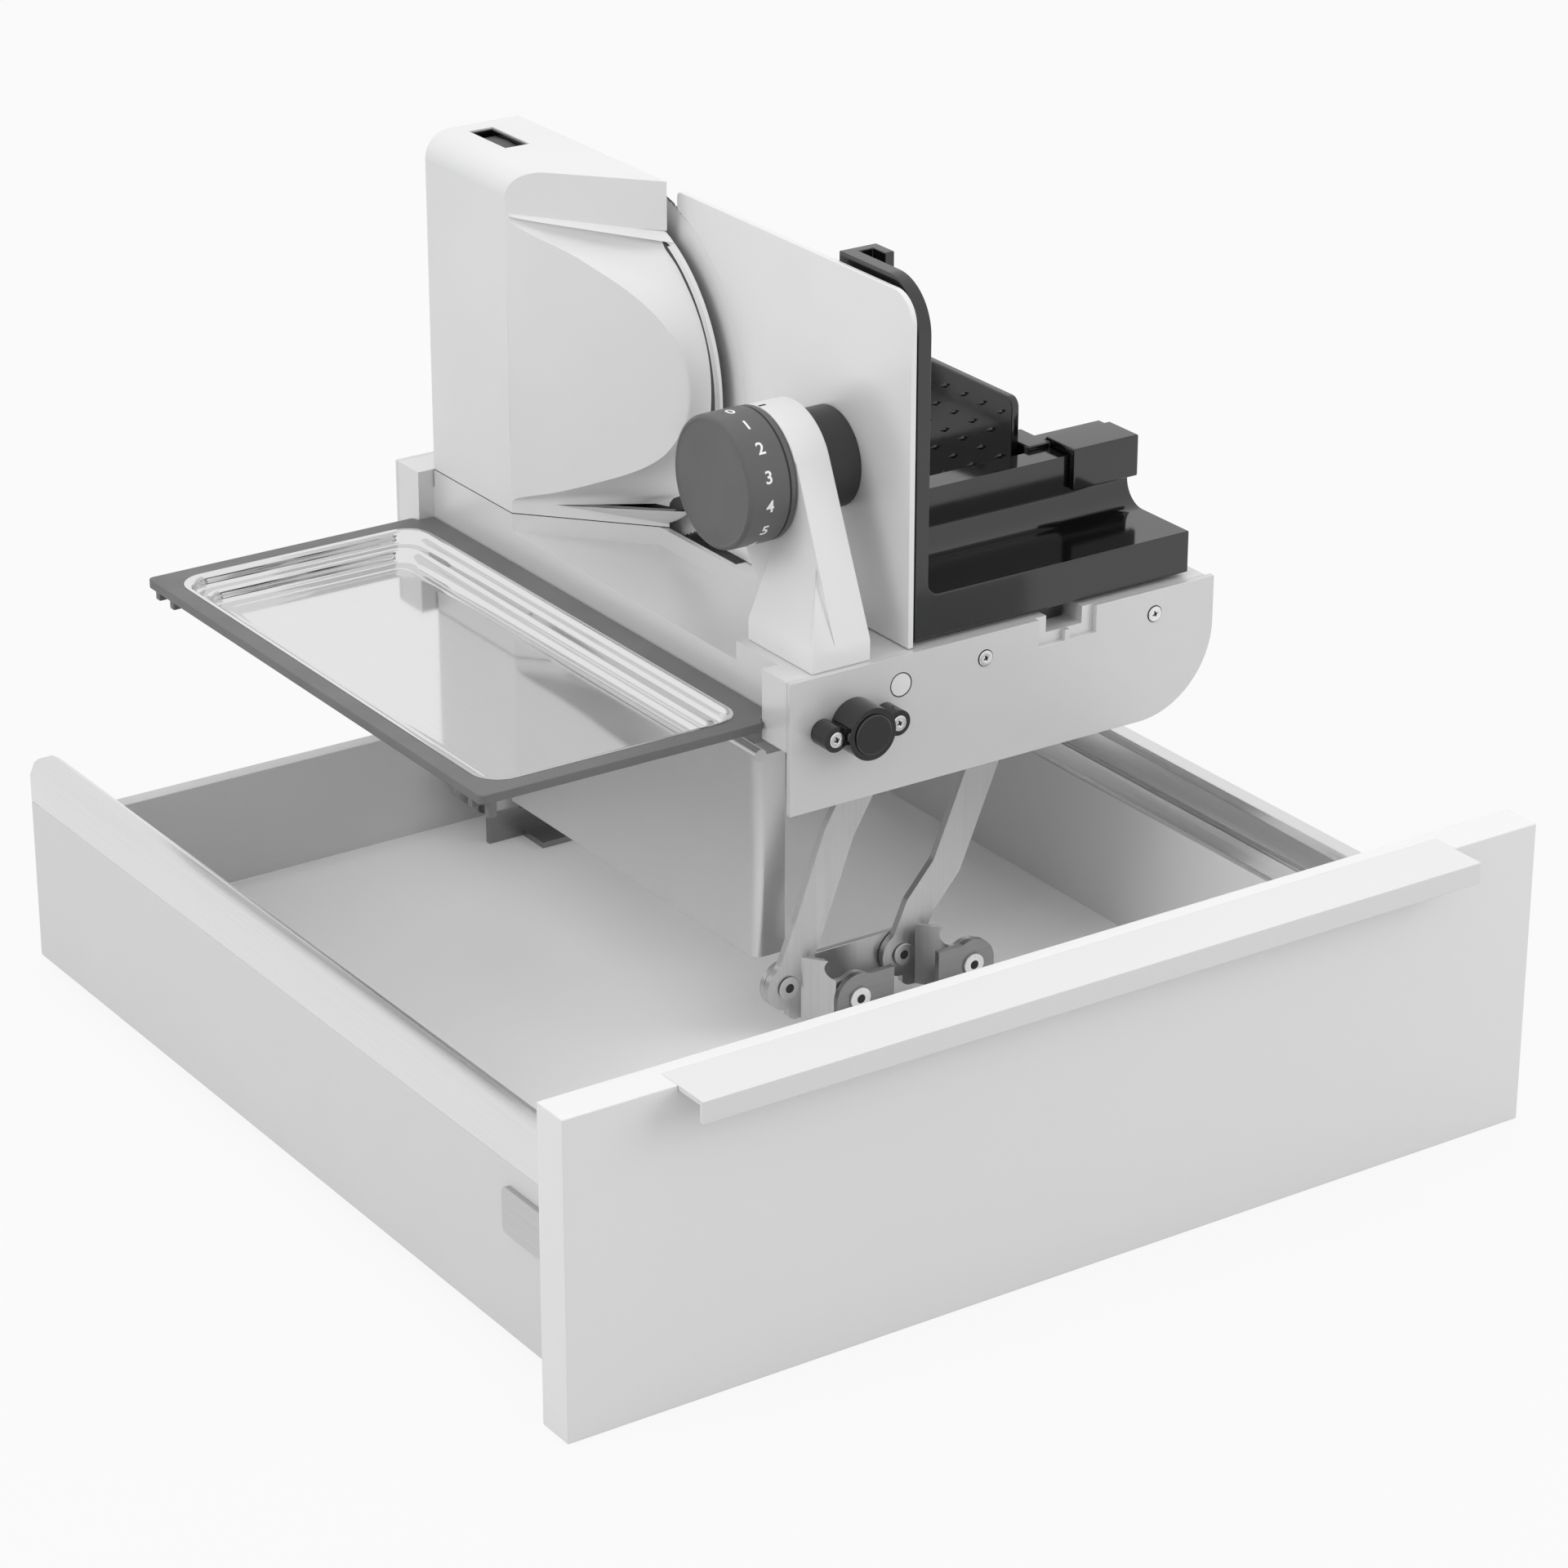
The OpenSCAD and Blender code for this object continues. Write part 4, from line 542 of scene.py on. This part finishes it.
def knob():
    """The dial with its figures, and the mark on the arm."""
    cx, cy, cz = KNOB
    bm = bmesh.new()
    lathe(bm, KNOB, "x", KNOB_PROFILE, 128)
    settle(from_bmesh("dial_knob", bm, 50), "dial")
    out = bmesh.new()
    for n in range(FIGURES):
        data = bpy.data.curves.new("figure", "FONT")
        data.body = str(n)
        data.size = (8.0 if n < 10 else 6.6) * MM
        data.offset = 0.13 * MM
        data.extrude = 0.05 * MM
        data.align_x, data.align_y = "CENTER", "CENTER"
        data.resolution_u = 6
        o = bpy.data.objects.new("figure", data)
        bpy.context.scene.collection.objects.link(o)
        bpy.context.view_layer.update()
        me = bpy.data.meshes.new_from_object(o.evaluated_get(bpy.context.evaluated_depsgraph_get()))
        bpy.data.objects.remove(o)
        part = bmesh.new()
        part.from_mesh(me)
        # fine enough to bend round the knob
        bmesh.ops.subdivide_edges(part, edges=[e for e in part.edges if e.calc_length() > 0.0015], cuts=2)
        for i in range(-6, 7):
            split(part, (0, i * 0.7 * MM, 0), (0, 1, 0))
        phi = math.radians(MARK_ANGLE - STEP_ANGLE * n)
        for v in part.verts:
            x, y, z = v.co / MM
            a, rad = phi + y / KNOB_R, KNOB_R + FIGURE_OUT + z
            v.co = at(cx + FIGURE_X + x, cy - rad * math.cos(a), cz + rad * math.sin(a))
        me2 = bpy.data.meshes.new("figure")
        part.to_mesh(me2)
        part.free()
        out.from_mesh(me2)
    settle(from_bmesh("dial_numbers", out, 20), body="dial", slot="dial_plastic", mat=M["digit_white"])
    tick = bmesh.new()
    rows = []
    for k in range(5):
        a = math.radians(MARK_ANGLE + (k - 2) * 0.7)
        rows.append([tick.verts.new(at(x, cy - q * math.cos(a), cz + q * math.sin(a)))
                     for x, q in ((259.2, 30.02), (262.6, 30.02), (262.6, 30.1), (259.2, 30.1))])
    for p0, p1 in zip(rows, rows[1:]):
        for i in range(4):
            tick.faces.new((p0[i], p0[(i + 1) % 4], p1[(i + 1) % 4], p1[i]))
    tick.faces.new(rows[0])
    tick.faces.new(list(reversed(rows[-1])))
    mark("dial_mark", tick, "slicer", 30)


# the pan's section: distance in from its edge and depth, in millimetres
PAN_PROFILE = [(0.0, 0.0), (1.5, 0.0), (2.3, 0.3), (3.0, 1.0), (3.5, 2.2), (3.8, 3.6), (4.1, 4.6),
               (4.8, 5.4), (6.0, 5.8), (8.4, 6.0), (9.5, 6.3), (10.2, 7.1), (10.6, 8.6), (10.9, 10.0),
               (11.5, 11.2), (12.8, 11.9), (14.6, 12.1), (17.0, 12.15), (17.3, 11.9), (18.1, 11.9),
               (18.4, 12.15), (20.0, 12.15)]


def pan():
    """The pressed pan, ridge and all, with an even wall."""
    lo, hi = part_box("tray_pan")
    bm = bmesh.new()

    def ring(e, d):
        return rounded_ring(lo[0] + e * MM, hi[0] - e * MM, lo[1] + e * MM, hi[1] - e * MM,
                            max(14 - 0.45 * e, 5) * MM, hi[2] - d * MM, 12)
    top = [ring(e, d) for e, d in PAN_PROFILE]
    low = [ring(max(e - 0.7, 0.0) if 2 < e < 16 else e, d + 0.8) for e, d in reversed(PAN_PROFILE)]
    rim = loft(bm, top, False, True)[0]
    under = loft(bm, low, True, False)[-1]
    n = len(rim)
    for i in range(n):
        bm.faces.new((under[i], under[(i + 1) % n], rim[(i + 1) % n], rim[i]))
    settle(from_bmesh("tray_pan_pressing", bm, 40), "tray_pan")


def pusher():
    """The pusher's board with its rows of spikes."""
    bm = bmesh.new()
    y0, y1, z0, z1, r = 262.0, 374.0, 211.4, 280.0, 5.0

    def ring(x, e):
        pts = []
        for cy, cz, a0 in ((y1 - r, z1 - r, 0), (y0 + r, z1 - r, 90),
                           (y0 + r, z0 + r, 180), (y1 - r, z0 + r, 270)):
            for i in range(11):
                a = math.radians(a0 + 9 * i)
                pts.append(at(x, cy + (r - e) * math.cos(a), cz + (r - e) * math.sin(a)))
        return pts
    edge = ((404, 0.7), (404.2, 0.25), (404.7, 0), (407.3, 0), (407.8, 0.25), (408, 0.7))
    loft(bm, [ring(x, e) for x, e in edge], True, True)
    for i in range(7):
        for j in range(5):
            y = y0 + 14.4 * (i + 0.6 + (j % 2) / 2)
            if y < y1 - 7.2:
                z = z1 - 14.4 * (j * 0.75 + 0.6)
                lathe(bm, (404.0, y, z), "x", [(0.05, 1.3), (-0.5, 1.0), (-1.6, 0.62), (-2.9, 0.12)], 14)
    settle(from_bmesh("pusher_board", bm, 50), "pusher_plate")


# the curved edge of the oblique panel: distance along the panel and height
FACE_EDGE = [(3.7, 349.8), (19.4, 343.8), (35.0, 338.6), (50.6, 332.7), (66.0, 326.4),
             (78.8, 319.2), (87.8, 311.9), (94.1, 303.3), (98.1, 292.8), (99.3, 281.7),
             (97.9, 270.8), (93.7, 260.8), (86.4, 251.1), (76.7, 243.7), (64.8, 237.2),
             (51.5, 231.3), (38.1, 225.6), (22.0, 219.3), (8.4, 214.2), (0.2, 210.7)]
ALONG = Vector((39.0, -89.0, 0)).normalized()
# the ledges above and below the hollow: height at the panel's upright edge, and rise along it
LEDGES = ((350.1, -0.0657), (209.0, 0.1137))


def spline(points, n):
    """Points along a smooth curve through the given ones."""
    q = [points[0]] + list(points) + [points[-1]]
    out = []
    spans = len(points) - 1
    for k in range(n + 1):
        f = k * spans / n
        i = min(int(f), spans - 1)
        t = f - i
        a, b, c, d = (Vector(q[i + j]) for j in range(4))
        out.append(0.5 * (2 * b + (c - a) * t + (2 * a - 5 * b + 4 * c - d) * t ** 2
                          + (3 * b - a - 3 * c + d) * t ** 3))
    return out


def run(x, y):
    """How far a point of the plan lies along the oblique panel."""
    return (x - PANEL_X) * ALONG.x + (y - PANEL_Y) * ALONG.y


def ledge_z(k, x, y):
    """The height of the upper (0) or lower (1) ledge over a point of the plan."""
    return LEDGES[k][0] + LEDGES[k][1] * run(x, y)


def plan_of(co):
    """A point of the row frame, seen from above in the measuring frame."""
    return co.x / MM + ORIGIN[0], co.y / MM + ORIGIN[1]


RIM_X, RIM_R = 291.7, 76.7          # the round guard's edge
RIM_FIRST, RIM_LAST = 61.1, -49.9   # the angles at which it meets the ledges
RIM_WALL, RIM_OUT, RIM_IN = 1.6, 0.3, 3     # its thickness and how far it stands out and reaches in
SAG = 0.2                           # how deep the hollow band sinks, as a share of its width
LEDGE_END = (50.8, -56.8)           # where the ledges' outer edge ends, from the panel's upright edge
SHELF = 51.0                        # how far the shelves reach along x
ROWS, HOLLOW, COLUMNS = 57, 12, 14  # steps down the face, across the hollow and across the panel
BEND_ROWS = 7                       # the rows over which the hollow turns into the ledge
# the band of painted shade under the housing lies between these heights
SEAM = (205.05, 205.5)              # the heights of the shadow gap


def on_rim(t, r):
    """A point at the guard's edge, at an angle and a distance from the blade's axis."""
    return Vector((RIM_X, BLADE_Y - r * math.cos(t), BLADE_Z + r * math.sin(t)))


def housing_body():
    """The tower without the part of its left side that housing_face stands for."""
    bm = node_mesh("tower")
    for z, rise in LEDGES:
        split(bm, at(PANEL_X, PANEL_Y, z), (-rise * ALONG.x, -rise * ALONG.y, 1))
    split(bm, at(0, 432.9, 0), (0, 1, 0))
    gone = []
    for f in bm.faces:
        mid = f.calc_center_median()
        x, y = plan_of(mid)
        if y < 432.85 and ledge_z(1, x, y) < mid.z / MM < ledge_z(0, x, y):
            gone.append(f)
    bmesh.ops.delete(bm, geom=gone, context="FACES")
    bmesh.ops.dissolve_limit(bm, angle_limit=math.radians(0.6), verts=bm.verts, edges=bm.edges)
    o = object_from("housing_body", bm)
    bevel(o, 1.6, 4)
    smooth_faces(o, 60)
    settle(o, "tower")


def housing_face():
    """The oblique panel, the hollow band from it to the round guard, and the shelves over and under both."""
    n = ROWS
    out = Vector((-89.0, -39.0, 0)).normalized()
    face = bmesh.new()
    curve = spline(FACE_EDGE, n)
    edge, rows = [], []
    for k, c in enumerate(curve):
        d = Vector((PANEL_X, PANEL_Y, 0)) + ALONG * c[0]
        d.z = c[1]
        t = math.radians(RIM_FIRST + (RIM_LAST - RIM_FIRST) * k / n)
        rim = on_rim(t, RIM_R)
        mid = (d + rim) / 2 - out * (rim - d).length * SAG
        row = []
        for j in range(HOLLOW + 1):
            f = j / HOLLOW
            p = d * (1 - f) ** 2 + mid * 2 * f * (1 - f) + rim * f * f
            bend = max(0.0, 1 - min(k, n - k) / BEND_ROWS) ** 2
            if 0 < bend and j < HOLLOW:
                side = Vector((PANEL_X + LEDGE_END[0] * f, PANEL_Y + LEDGE_END[1] * f, 0))
                p.x, p.y = p.x + (side.x - p.x) * bend, p.y + (side.y - p.y) * bend
            p.z = min(max(p.z, ledge_z(1, p.x, p.y)), ledge_z(0, p.x, p.y))
            if k in (0, n):
                p.z = ledge_z(k // n, p.x, p.y)
            row.append(p)
        edge.append(row[0])
        inner = on_rim(t, RIM_R - RIM_WALL)
        row += [rim + Vector((RIM_OUT, 0, 0)), inner + Vector((RIM_OUT, 0, 0)), inner - Vector((RIM_IN, 0, 0))]
        rows.append(row)
    grid = [[face.verts.new(at(*p)) for p in row] for row in rows]
    for p, q in zip(grid, grid[1:]):
        for i in range(len(p) - 1):
            face.faces.new((p[i], p[i + 1], q[i + 1], q[i]))
    # the panel, ruled from its upright edge to the curved one
    left = []
    for k, d in enumerate(edge):
        start = Vector((PANEL_X, PANEL_Y, LEDGES[0][0] + (LEDGES[1][0] - LEDGES[0][0]) * k / n))
        line = [face.verts.new(at(*(start.lerp(d, i / COLUMNS)))) for i in range(COLUMNS)]
        left.append(line + [grid[k][0]])
    for p, q in zip(left, left[1:]):
        for i in range(COLUMNS):
            face.faces.new((p[i], p[i + 1], q[i + 1], q[i]))
    # the shelves that close the face above and below
    for row, k in ((left[0] + grid[0][1:HOLLOW + 1], 0), (left[-1] + grid[-1][1:HOLLOW + 1], 1)):
        xs = [PANEL_X + SHELF * i / (len(row) - 1) for i in range(len(row))]
        back = [face.verts.new(at(x, PANEL_Y, ledge_z(k, x, PANEL_Y))) for x in xs]
        for i in range(len(row) - 1):
            face.faces.new((row[i], row[i + 1], back[i + 1], back[i]))
    for k, lift in ((0, 0.03), (1, -0.03)):
        tri = [face.verts.new(at(x, y, ledge_z(k, x, y) + lift))
               for x, y in ((241.1, 433), (291.9, 376.2), (291.9, 433))]
        face.faces.new(tri if k else tri[::-1])
    bmesh.ops.remove_doubles(face, verts=face.verts, dist=1e-6)
    bmesh.ops.dissolve_degenerate(face, edges=face.edges, dist=1e-7)
    bmesh.ops.recalc_face_normals(face, faces=face.faces)
    f = object_from("housing_face", face)
    smooth_faces(f, 48)
    settle(f, body="slicer", slot="housing_paint")


def housing_seam():
    """A band of painted shade on the tower: dark faces, a hair proud of it, that stand for the shadow in the
    gap between the housing and its foot.
    """
    seam_shade = bmesh.new()
    seam_shade.from_mesh(NODES["tower"].data)
    low, high = SEAM
    for z in SEAM:
        split(seam_shade, (0, 0, z * MM), (0, 0, 1))
    gone = [q for q in seam_shade.faces if not (low * MM < q.calc_center_median().z < high * MM
                                          and abs(q.normal.z) < 0.5)]
    bmesh.ops.delete(seam_shade, geom=gone, context="FACES")
    bmesh.ops.remove_doubles(seam_shade, verts=seam_shade.verts, dist=1e-6)
    for v in seam_shade.verts:
        v.co += v.normal * 0.00006
    settle(object_from("housing_seam", seam_shade), body="slicer", slot="dark_plastic", mat=M["mark_and_shade_dark"])


def stop_plate():
    """The stop plate's rounded outline, cut round the blade."""
    lo, hi = box_mm("stop_plate")
    y0, z0, z1 = lo[1], lo[2], hi[2]
    r, rear_r, cut, rear = 14.0, 3, 86.4, 375.7
    pts = [(y0, z0)]
    for i in range(13):
        a = math.radians(180 - 90 * i / 12)
        pts.append((y0 + r + r * math.cos(a), z1 - r + r * math.sin(a)))
    for i in range(7):
        a = math.radians(90 - 15 * i)
        pts.append((rear - rear_r + rear_r * math.cos(a), z1 - rear_r + rear_r * math.sin(a)))
    start = math.degrees(math.acos((BLADE_Y - rear) / cut))
    end = -math.degrees(math.asin((BLADE_Z - z0) / cut))
    for i in range(49):
        a = math.radians(start + (end - start) * i / 48)
        pts.append((BLADE_Y - cut * math.cos(a), BLADE_Z + cut * math.sin(a)))
    bm = bmesh.new()
    loft(bm, [[at(x, y, z) for y, z in pts] for x in (lo[0], hi[0])], True, True)
    settle(from_bmesh("stop_plate_finish", bm, 50, 0.5), "stop_plate")


def guard_cover():
    """The dark cover: a ring beside the blade and the sheet that closes the tower's right side."""
    lo, hi = box_mm("inner_cover")
    y0, z0 = PANEL_Y, 205.6
    bm = bmesh.new()
    lathe(bm, (289.2, BLADE_Y, BLADE_Z), "x", [(0.0, 30.0), (0.0, 74.5), (1.6, 74.9), (1.6, 30.0)], 96,
          (False, False))
    sheet = ((y0, z0), (hi[1], z0), (hi[1], hi[2]), (y0, hi[2]))
    loft(bm, [[at(x, y, z) for y, z in sheet] for x in (lo[0], hi[0])], True, True)
    settle(from_bmesh("guard_cover", bm, 40), "inner_cover")


BAND_X, BAND_R = 298.6, 75.3        # where the blade's slope changes
BAND_RADII = (64.0, BAND_R, 78.5, 81.6, 84.1)
BAND_SLOPES = (0.057, 0.1458)       # inside and outside of BAND_R


def blade_edge():
    """The ground band of the blade, with its fine scallops."""
    bm = bmesh.new()
    teeth, per = 150, 6
    rings = []
    for side in (-0.08, 0.2):
        for r in BAND_RADII if side < 0 else reversed(BAND_RADII):
            ring = []
            for i in range(teeth * per):
                t = 2 * math.pi * i / (teeth * per)
                wave = 0.5 - 0.5 * math.cos(2 * math.pi * i / per)
                rr = r - 0.7 * wave if r > 84 else r
                x = BAND_X + (rr - BAND_R) * BAND_SLOPES[rr > BAND_R] + side
                ring.append(at(x, BLADE_Y - rr * math.cos(t), BLADE_Z + rr * math.sin(t)))
            rings.append(ring)
    loft(bm, rings + [rings[0]])
    bmesh.ops.remove_doubles(bm, verts=bm.verts, dist=1e-7)
    settle(from_bmesh("blade_edge", bm, 30), body="blade", slot="blade_steel", mat=M["ground_steel"])


def blade_trough():
    """The closed well under the blade's opening in the deck."""
    x0, x1, y0, y1, z0, z1, t = 290.0, 328.0, 320.0, 476.0, 188.6, 201.9, 0.9
    inner = x0 + t, x1 - t, y0 + t, y1 - t
    outer = x0, x1, y0, y1
    bm = bmesh.new()
    loft(bm, [[at(x, y, z) for x, y in ((a, c), (b, c), (b, d), (a, d))]
              for (a, b, c, d), z in ((inner, z0 + t), (inner, z1), (outer, z1), (outer, z0))], True, True)
    settle(from_bmesh("blade_trough", bm, 30), body="slicer", slot="deck_paint")


def carriage():
    """The carriage with its guide rib set back from the front, as the open slot shows."""
    o = bevelled("carriage", 1.3, 3, settle_it=False)
    bm = bmesh.new()
    bmesh.ops.create_cube(bm, size=1.0)
    (x, y, z), (wide, deep, high) = (382, 196.5, 196), (20, 13, 21.7)
    for v in bm.verts:
        v.co = at(x + v.co.x * wide, y + v.co.y * deep, z + v.co.z * high)
    carve(o, object_from("slot", bm))
    smooth_faces(o, 50)
    settle(o, "carriage")


def rivet_eyes():
    """Painted shade: a flat dark disc for the shaded bore of each tubular rivet, and a thin dark ring of
    painted shadow round each flush cap.
    """
    bore_shades, caps = {"link_f": bmesh.new(), "drawer": bmesh.new()}, bmesh.new()
    # each bore is a flat dark disc of painted shade, not a hole
    bore = [(-0.3, 2.2), (0.0, 2.2), (0.06, 2.0), (0.06, 0.2)]
    for x in (248.7, 311.5):
        lathe(bore_shades["link_f"], (x, 211.52, 45.6), "-y", bore, 24)
    for lo, hi in islands("base_pins"):
        lathe(bore_shades["drawer"], ((lo[0] + hi[0]) / 2, lo[1], (lo[2] + hi[2]) / 2), "-y", bore, 24)
    faces = (("-y", box_mm("plate_front")[0][1], 0), ("y", box_mm("plate_rear")[1][1], 1))
    for pin in islands("fold_pins"):
        (x0, _, z0), (x1, _, z1) = pin
        for axis, y, k in faces:
            if abs(pin[k][1] - y) < 1.5:
                lathe(caps, ((x0 + x1) / 2, y, (z0 + z1) / 2), axis,
                      thin_ring((x1 - x0) / 2, 0.4, 0.05), 48, (False, False))
    for body, bm in bore_shades.items():
        mark("rivet_eyes_" + body, bm, body, 40, "bracket_steel")
    mark("cap_shadow_rings", caps, "slicer", 40)


def spring():
    """The release spring between the button and its case: a copy of the node's coil in spring steel."""
    o = bevelled("release_spring", 0, name="release_spring_coil", settle_it=False)
    o.data.materials.clear()
    o.data.materials.append(M["spring_steel"])
    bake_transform(o)
    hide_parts("release_spring")


def make_pieces():
    """All that is seen of the part. A node without a piece of its own keeps its mesh and gets a material."""
    for node, w in WIDTHS.items():
        o = bevelled(node, w, 3 if w > 1.1 else 2, 62 if node == "upright_arm" else 30)
        if node in OWN:
            o.data.materials[0] = M[OWN[node]]
    housing_body()
    housing_face()
    housing_seam()
    stop_plate()
    guard_cover()
    blade_edge()
    blade_trough()
    carriage()
    knob()
    pan()
    pusher()
    screws("plate_screws")
    screws("case_screws")
    rivet_eyes()
    spring()
    for node, o in NODES.items():
        o.data.materials.clear()
        o.data.materials.append(M[SLOT_OF[node]])
        if node not in WIDTHS and not o.get("replaced"):
            o.data.shade_smooth()
            o.data.set_sharp_from_angle(angle=math.radians(32))


# ---------------------------------------------------------------- stage
WORLD_LIGHT, WORLD_SEEN, FLOOR_SEEN = 0.72, 0.945, 0.9


def seen_rays(tree, lp):
    """1 for camera, glossy and transmission rays."""
    out = lp.outputs["Is Camera Ray"]
    for kind in ("Is Glossy Ray", "Is Transmission Ray"):
        node = tree.nodes.new("ShaderNodeMath")
        node.operation = "MAXIMUM"
        tree.links.new(out, node.inputs[0])
        tree.links.new(lp.outputs[kind], node.inputs[1])
        out = node.outputs[0]
    return out


def add_floor():
    """A pale floor that the camera sees almost white and that keeps the object's shadow."""
    me = bpy.data.meshes.new("floor")
    size = 6.0
    me.from_pydata([(i * size, j * size, 0) for i, j in CORNERS], [], [(0, 1, 2, 3)])
    floor = new_object("floor", me)
    floor.location.z = -0.0005
    m = Mat("floor", (0.5, 0.5, 0.5), 0.8)
    m.vary_colour(m.noise(3, 3), 0.99, 1.01)
    m.bump(m.noise(300, 2), 0.02, 0.0002)
    out = m.tree.nodes["Material Output"]
    lp = m.node("ShaderNodeLightPath")
    em = m.node("ShaderNodeEmission")
    em.inputs["Color"].default_value = (1, 1, 1, 1)
    mix = m.node("ShaderNodeMixShader")
    part = m.node("ShaderNodeMath", operation="MULTIPLY")
    part.inputs[1].default_value = FLOOR_SEEN
    m.link(seen_rays(m.tree, lp), part.inputs[0])
    m.link(part.outputs[0], mix.inputs["Fac"])
    m.link(m.shader.outputs[0], mix.inputs[1])
    m.link(em.outputs[0], mix.inputs[2])
    m.link(mix.outputs[0], out.inputs["Surface"])
    floor.data.materials.append(m.mat)


def add_world():
    """Even light all round, seen as a white background."""
    world = bpy.data.worlds.new("studio")
    bpy.context.scene.world = world
    world.use_nodes = True
    t = world.node_tree
    bg = t.nodes["Background"]
    bg.inputs["Color"].default_value = (1, 1, 1, 1)
    bg.inputs["Strength"].default_value = WORLD_LIGHT
    seen = t.nodes.new("ShaderNodeBackground")
    seen.inputs["Color"].default_value = (*grey(WORLD_SEEN), 1)
    seen.inputs["Strength"].default_value = 1.0
    lp = t.nodes.new("ShaderNodeLightPath")
    mix = t.nodes.new("ShaderNodeMixShader")
    t.links.new(seen_rays(t, lp), mix.inputs["Fac"])
    t.links.new(bg.outputs[0], mix.inputs[1])
    t.links.new(seen.outputs[0], mix.inputs[2])
    t.links.new(mix.outputs[0], t.nodes["World Output"].inputs["Surface"])


# name, place, target, watts, width and height
LAMPS = (("key", (-2.1, 0.0, 1.6), (0, 0, 0.15), 19, 1.3, 1.3),
         ("fill", (1.6, -1.8, 1.1), (0, 0, 0.15), 18, 1.6, 1.6),
         ("top", (0.1, 0.1, 2.3), (0, 0, 0), 12, 1.4, 1.4),
         ("back", (1.5, 2.1, 1.3), (0, 0, 0.2), 4, 2.2, 1.0))


def add_lamps():
    """Soft rectangular lamps that leave no picture of themselves."""
    for name, where, target, power, width, height in LAMPS:
        d = bpy.data.lights.new(name, "AREA")
        d.energy = power
        d.shape = "RECTANGLE"
        d.size, d.size_y = width, height
        o = bpy.data.objects.new(name, d)
        bpy.context.scene.collection.objects.link(o)
        o.location = where
        o.rotation_euler = (Vector(target) - Vector(where)).to_track_quat("-Z", "Y").to_euler()
        o.visible_camera = False
        o.visible_glossy = False


add_camera()
make_materials()
make_pieces()
add_floor()
add_world()
add_lamps()
bpy.context.scene.view_settings.view_transform = "Standard"
bpy.context.view_layer.update()
